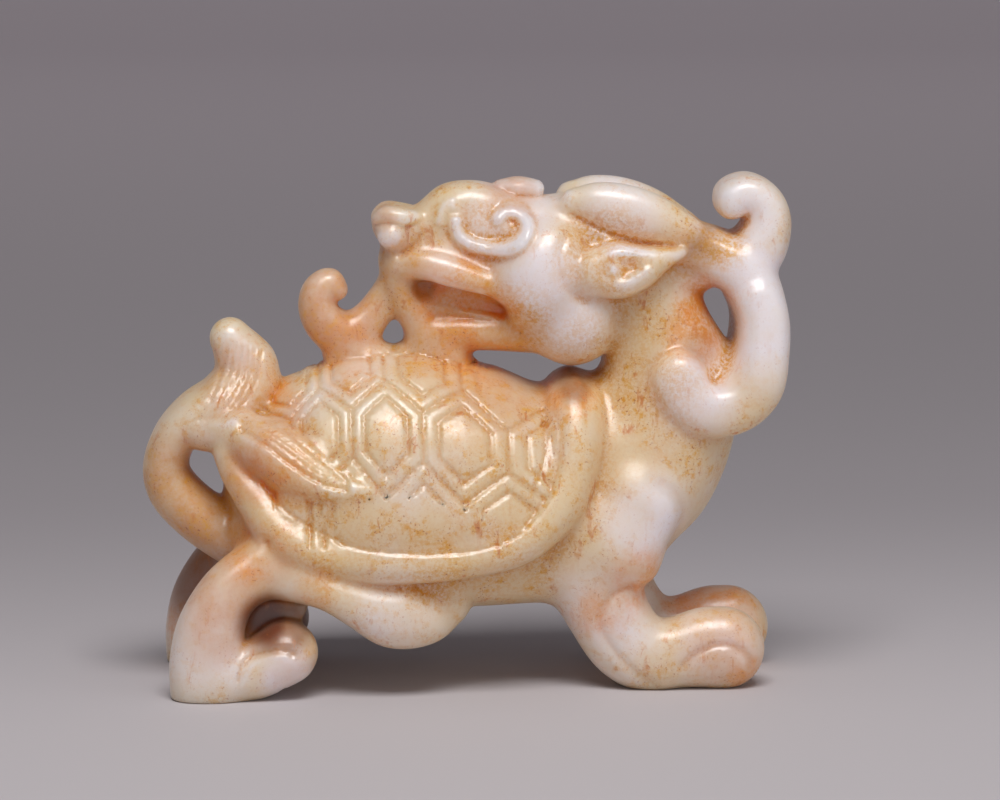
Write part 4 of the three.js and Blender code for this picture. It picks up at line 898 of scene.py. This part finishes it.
def add_carving():
    """Adds the carving, and gives how far it was moved to stand in the frame, in millimetres."""
    field = sculpt()
    points, quads = skin(field.resampled(SKIN_GRID))
    mesh, points = thinned(as_mesh(settled(field, points), quads))
    fine = cavity(field, CREASE, 1, points)
    add_attribute(mesh, "crease", smooth_step(0.06, 0.45, fine))
    add_attribute(mesh, "proud", smooth_step(0.12, 0.35, -fine))
    add_attribute(mesh, "hollow", smooth_step(0.05, 0.5, cavity(field, HOLLOW, 2, points)))
    for name, spots in STAINS_AND_SHADE.items():
        add_attribute(mesh, name, patches(points, spots))
    # into the frame: the middle of the box over the origin, and never past the solid's box
    low, high = (np.array(c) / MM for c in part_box("dragon_turtle"))
    fit = min(1, ((high - low) / np.ptp(points, axis=0)).min())
    shift = (low + high) / 2 - fit * (points.max(0) + points.min(0)) / 2
    shift[2] = 0
    mesh.vertices.foreach_set("co", ((points * fit + shift) * MM).ravel())
    mesh.shade_smooth()
    _, slope = sample(field.d, field.low, field.step, points)
    slope /= np.maximum(np.linalg.norm(slope, axis=1), 1e-6)[:, None]
    slope[points[:, 2] < SKIN_GRID] = 0  # the edge of the soles keeps its own
    mesh.normals_split_custom_set_from_vertices(slope)
    mesh.materials.append(jade())
    mesh.update()
    carving = bpy.data.objects.new("dragon_turtle_carving", mesh)
    bpy.context.scene.collection.objects.link(carving)
    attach(carving, "root")
    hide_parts("dragon_turtle")
    return shift


# Studio, in metres

FLOOR_WIDTH, FLOOR_FRONT, FLOOR_BACK = 3.2, -0.8, 0.9
SWEEP_RADIUS, WALL_HEIGHT = 0.6, 1.8
# the floor's colour paints light and shade on it: darker just behind the carving, and lighter far back,
# where less of the lamps' light reaches
FLOOR_NEAR = (0.56, 0.52, 0.535, 1)
FLOOR_MIDDLE_SHADE = (0.4, 0.365, 0.38, 1)
FLOOR_FAR_LIGHT = (0.92, 0.82, 0.85, 1)
LIT_PLACE = (0, 0, 0.03)  # about the middle of the carving, which every lamp faces


def add_floor():
    """A pale floor that sweeps up behind the carving, with painted shade just behind the carving and
    painted light far back.
    """
    n = Nodes("backdrop")
    place = n.tree.nodes.new("ShaderNodeSeparateXYZ")
    n.put(place.inputs[0], n.place())
    # painted shade behind the carving, then painted light towards the far wall
    colour = n.mix(n.ramp(place.outputs["Y"], -0.03, 0.12), FLOOR_NEAR, FLOOR_MIDDLE_SHADE)
    colour = n.mix(n.ramp(place.outputs["Y"], 0.15, 0.9), colour, FLOOR_FAR_LIGHT)
    n.put(n.shader.inputs["Base Color"], colour)
    n.shader.inputs["Roughness"].default_value = 0.7
    n.shader.inputs["Specular IOR Level"].default_value = 0.2
    profile = [(FLOOR_FRONT, 0.0), (FLOOR_BACK, 0.0)]
    for turn in np.linspace(0.1, math.pi / 2, 16):
        profile.append((FLOOR_BACK + SWEEP_RADIUS * math.sin(turn),
                        SWEEP_RADIUS - SWEEP_RADIUS * math.cos(turn)))
    profile.append((FLOOR_BACK + SWEEP_RADIUS, WALL_HEIGHT))
    verts = [(x, y, z) for y, z in profile for x in (-FLOOR_WIDTH / 2, FLOOR_WIDTH / 2)]
    faces = [(2 * i, 2 * i + 1, 2 * i + 3, 2 * i + 2) for i in range(len(profile) - 1)]
    mesh = bpy.data.meshes.new("backdrop")
    mesh.from_pydata(verts, [], faces)
    mesh.shade_smooth()
    mesh.materials.append(n.material)
    floor = bpy.data.objects.new("backdrop", mesh)
    bpy.context.scene.collection.objects.link(floor)


def add_light(name, place, size, power):
    light = bpy.data.lights.new(name, "AREA")
    light.shape = "RECTANGLE"
    light.size, light.size_y = size
    light.energy = power
    lamp = bpy.data.objects.new(name, light)
    lamp.location = place
    lamp.rotation_euler = (Vector(LIT_PLACE) - Vector(place)).to_track_quat("-Z", "Y").to_euler()
    bpy.context.scene.collection.objects.link(lamp)


# The photograph's view: a little from the left and from above
VIEW_AZIMUTH, VIEW_ELEVATION, VIEW_DISTANCE = math.radians(-3), math.radians(8), 0.5
VIEW_X, VIEW_Z = 3, 28.04  # what is in the middle of the picture, in the sculpture's millimetres
LENS, SENSOR = 180, 36


def add_camera(shift):
    """Looks at the carving, which was moved by shift millimetres."""
    target = Vector((VIEW_X * MM + shift[0] * MM, 0, VIEW_Z * MM))
    level = math.cos(VIEW_ELEVATION)
    back = Vector((math.sin(VIEW_AZIMUTH) * level, -math.cos(VIEW_AZIMUTH) * level,
                   math.sin(VIEW_ELEVATION)))
    data = bpy.data.cameras.new("camera")
    data.lens = LENS
    data.sensor_width = SENSOR
    data.clip_start = 0.01
    camera = bpy.data.objects.new("camera", data)
    camera.location = target + VIEW_DISTANCE * back
    camera.rotation_euler = (-back).to_track_quat("-Z", "Y").to_euler()
    bpy.context.scene.collection.objects.link(camera)
    bpy.context.scene.camera = camera


def add_world():
    world = bpy.data.worlds.new("studio")
    world.use_nodes = True
    background = world.node_tree.nodes["Background"]
    background.inputs["Color"].default_value = (0.9, 0.92, 1, 1)
    background.inputs["Strength"].default_value = 0.13
    bpy.context.scene.world = world


shift = add_carving()
add_floor()
add_light("key", place=(0, -0.34, 0.62), size=(0.4, 0.28), power=3.6)
add_light("right", place=(0.55, -0.35, 0.2), size=(0.4, 0.4), power=0.3)
add_light("front", place=(0.2, -0.85, 0.27), size=(1.0, 0.5), power=0.8)
add_camera(shift)
add_world()
bpy.context.scene.view_settings.view_transform = "Standard"
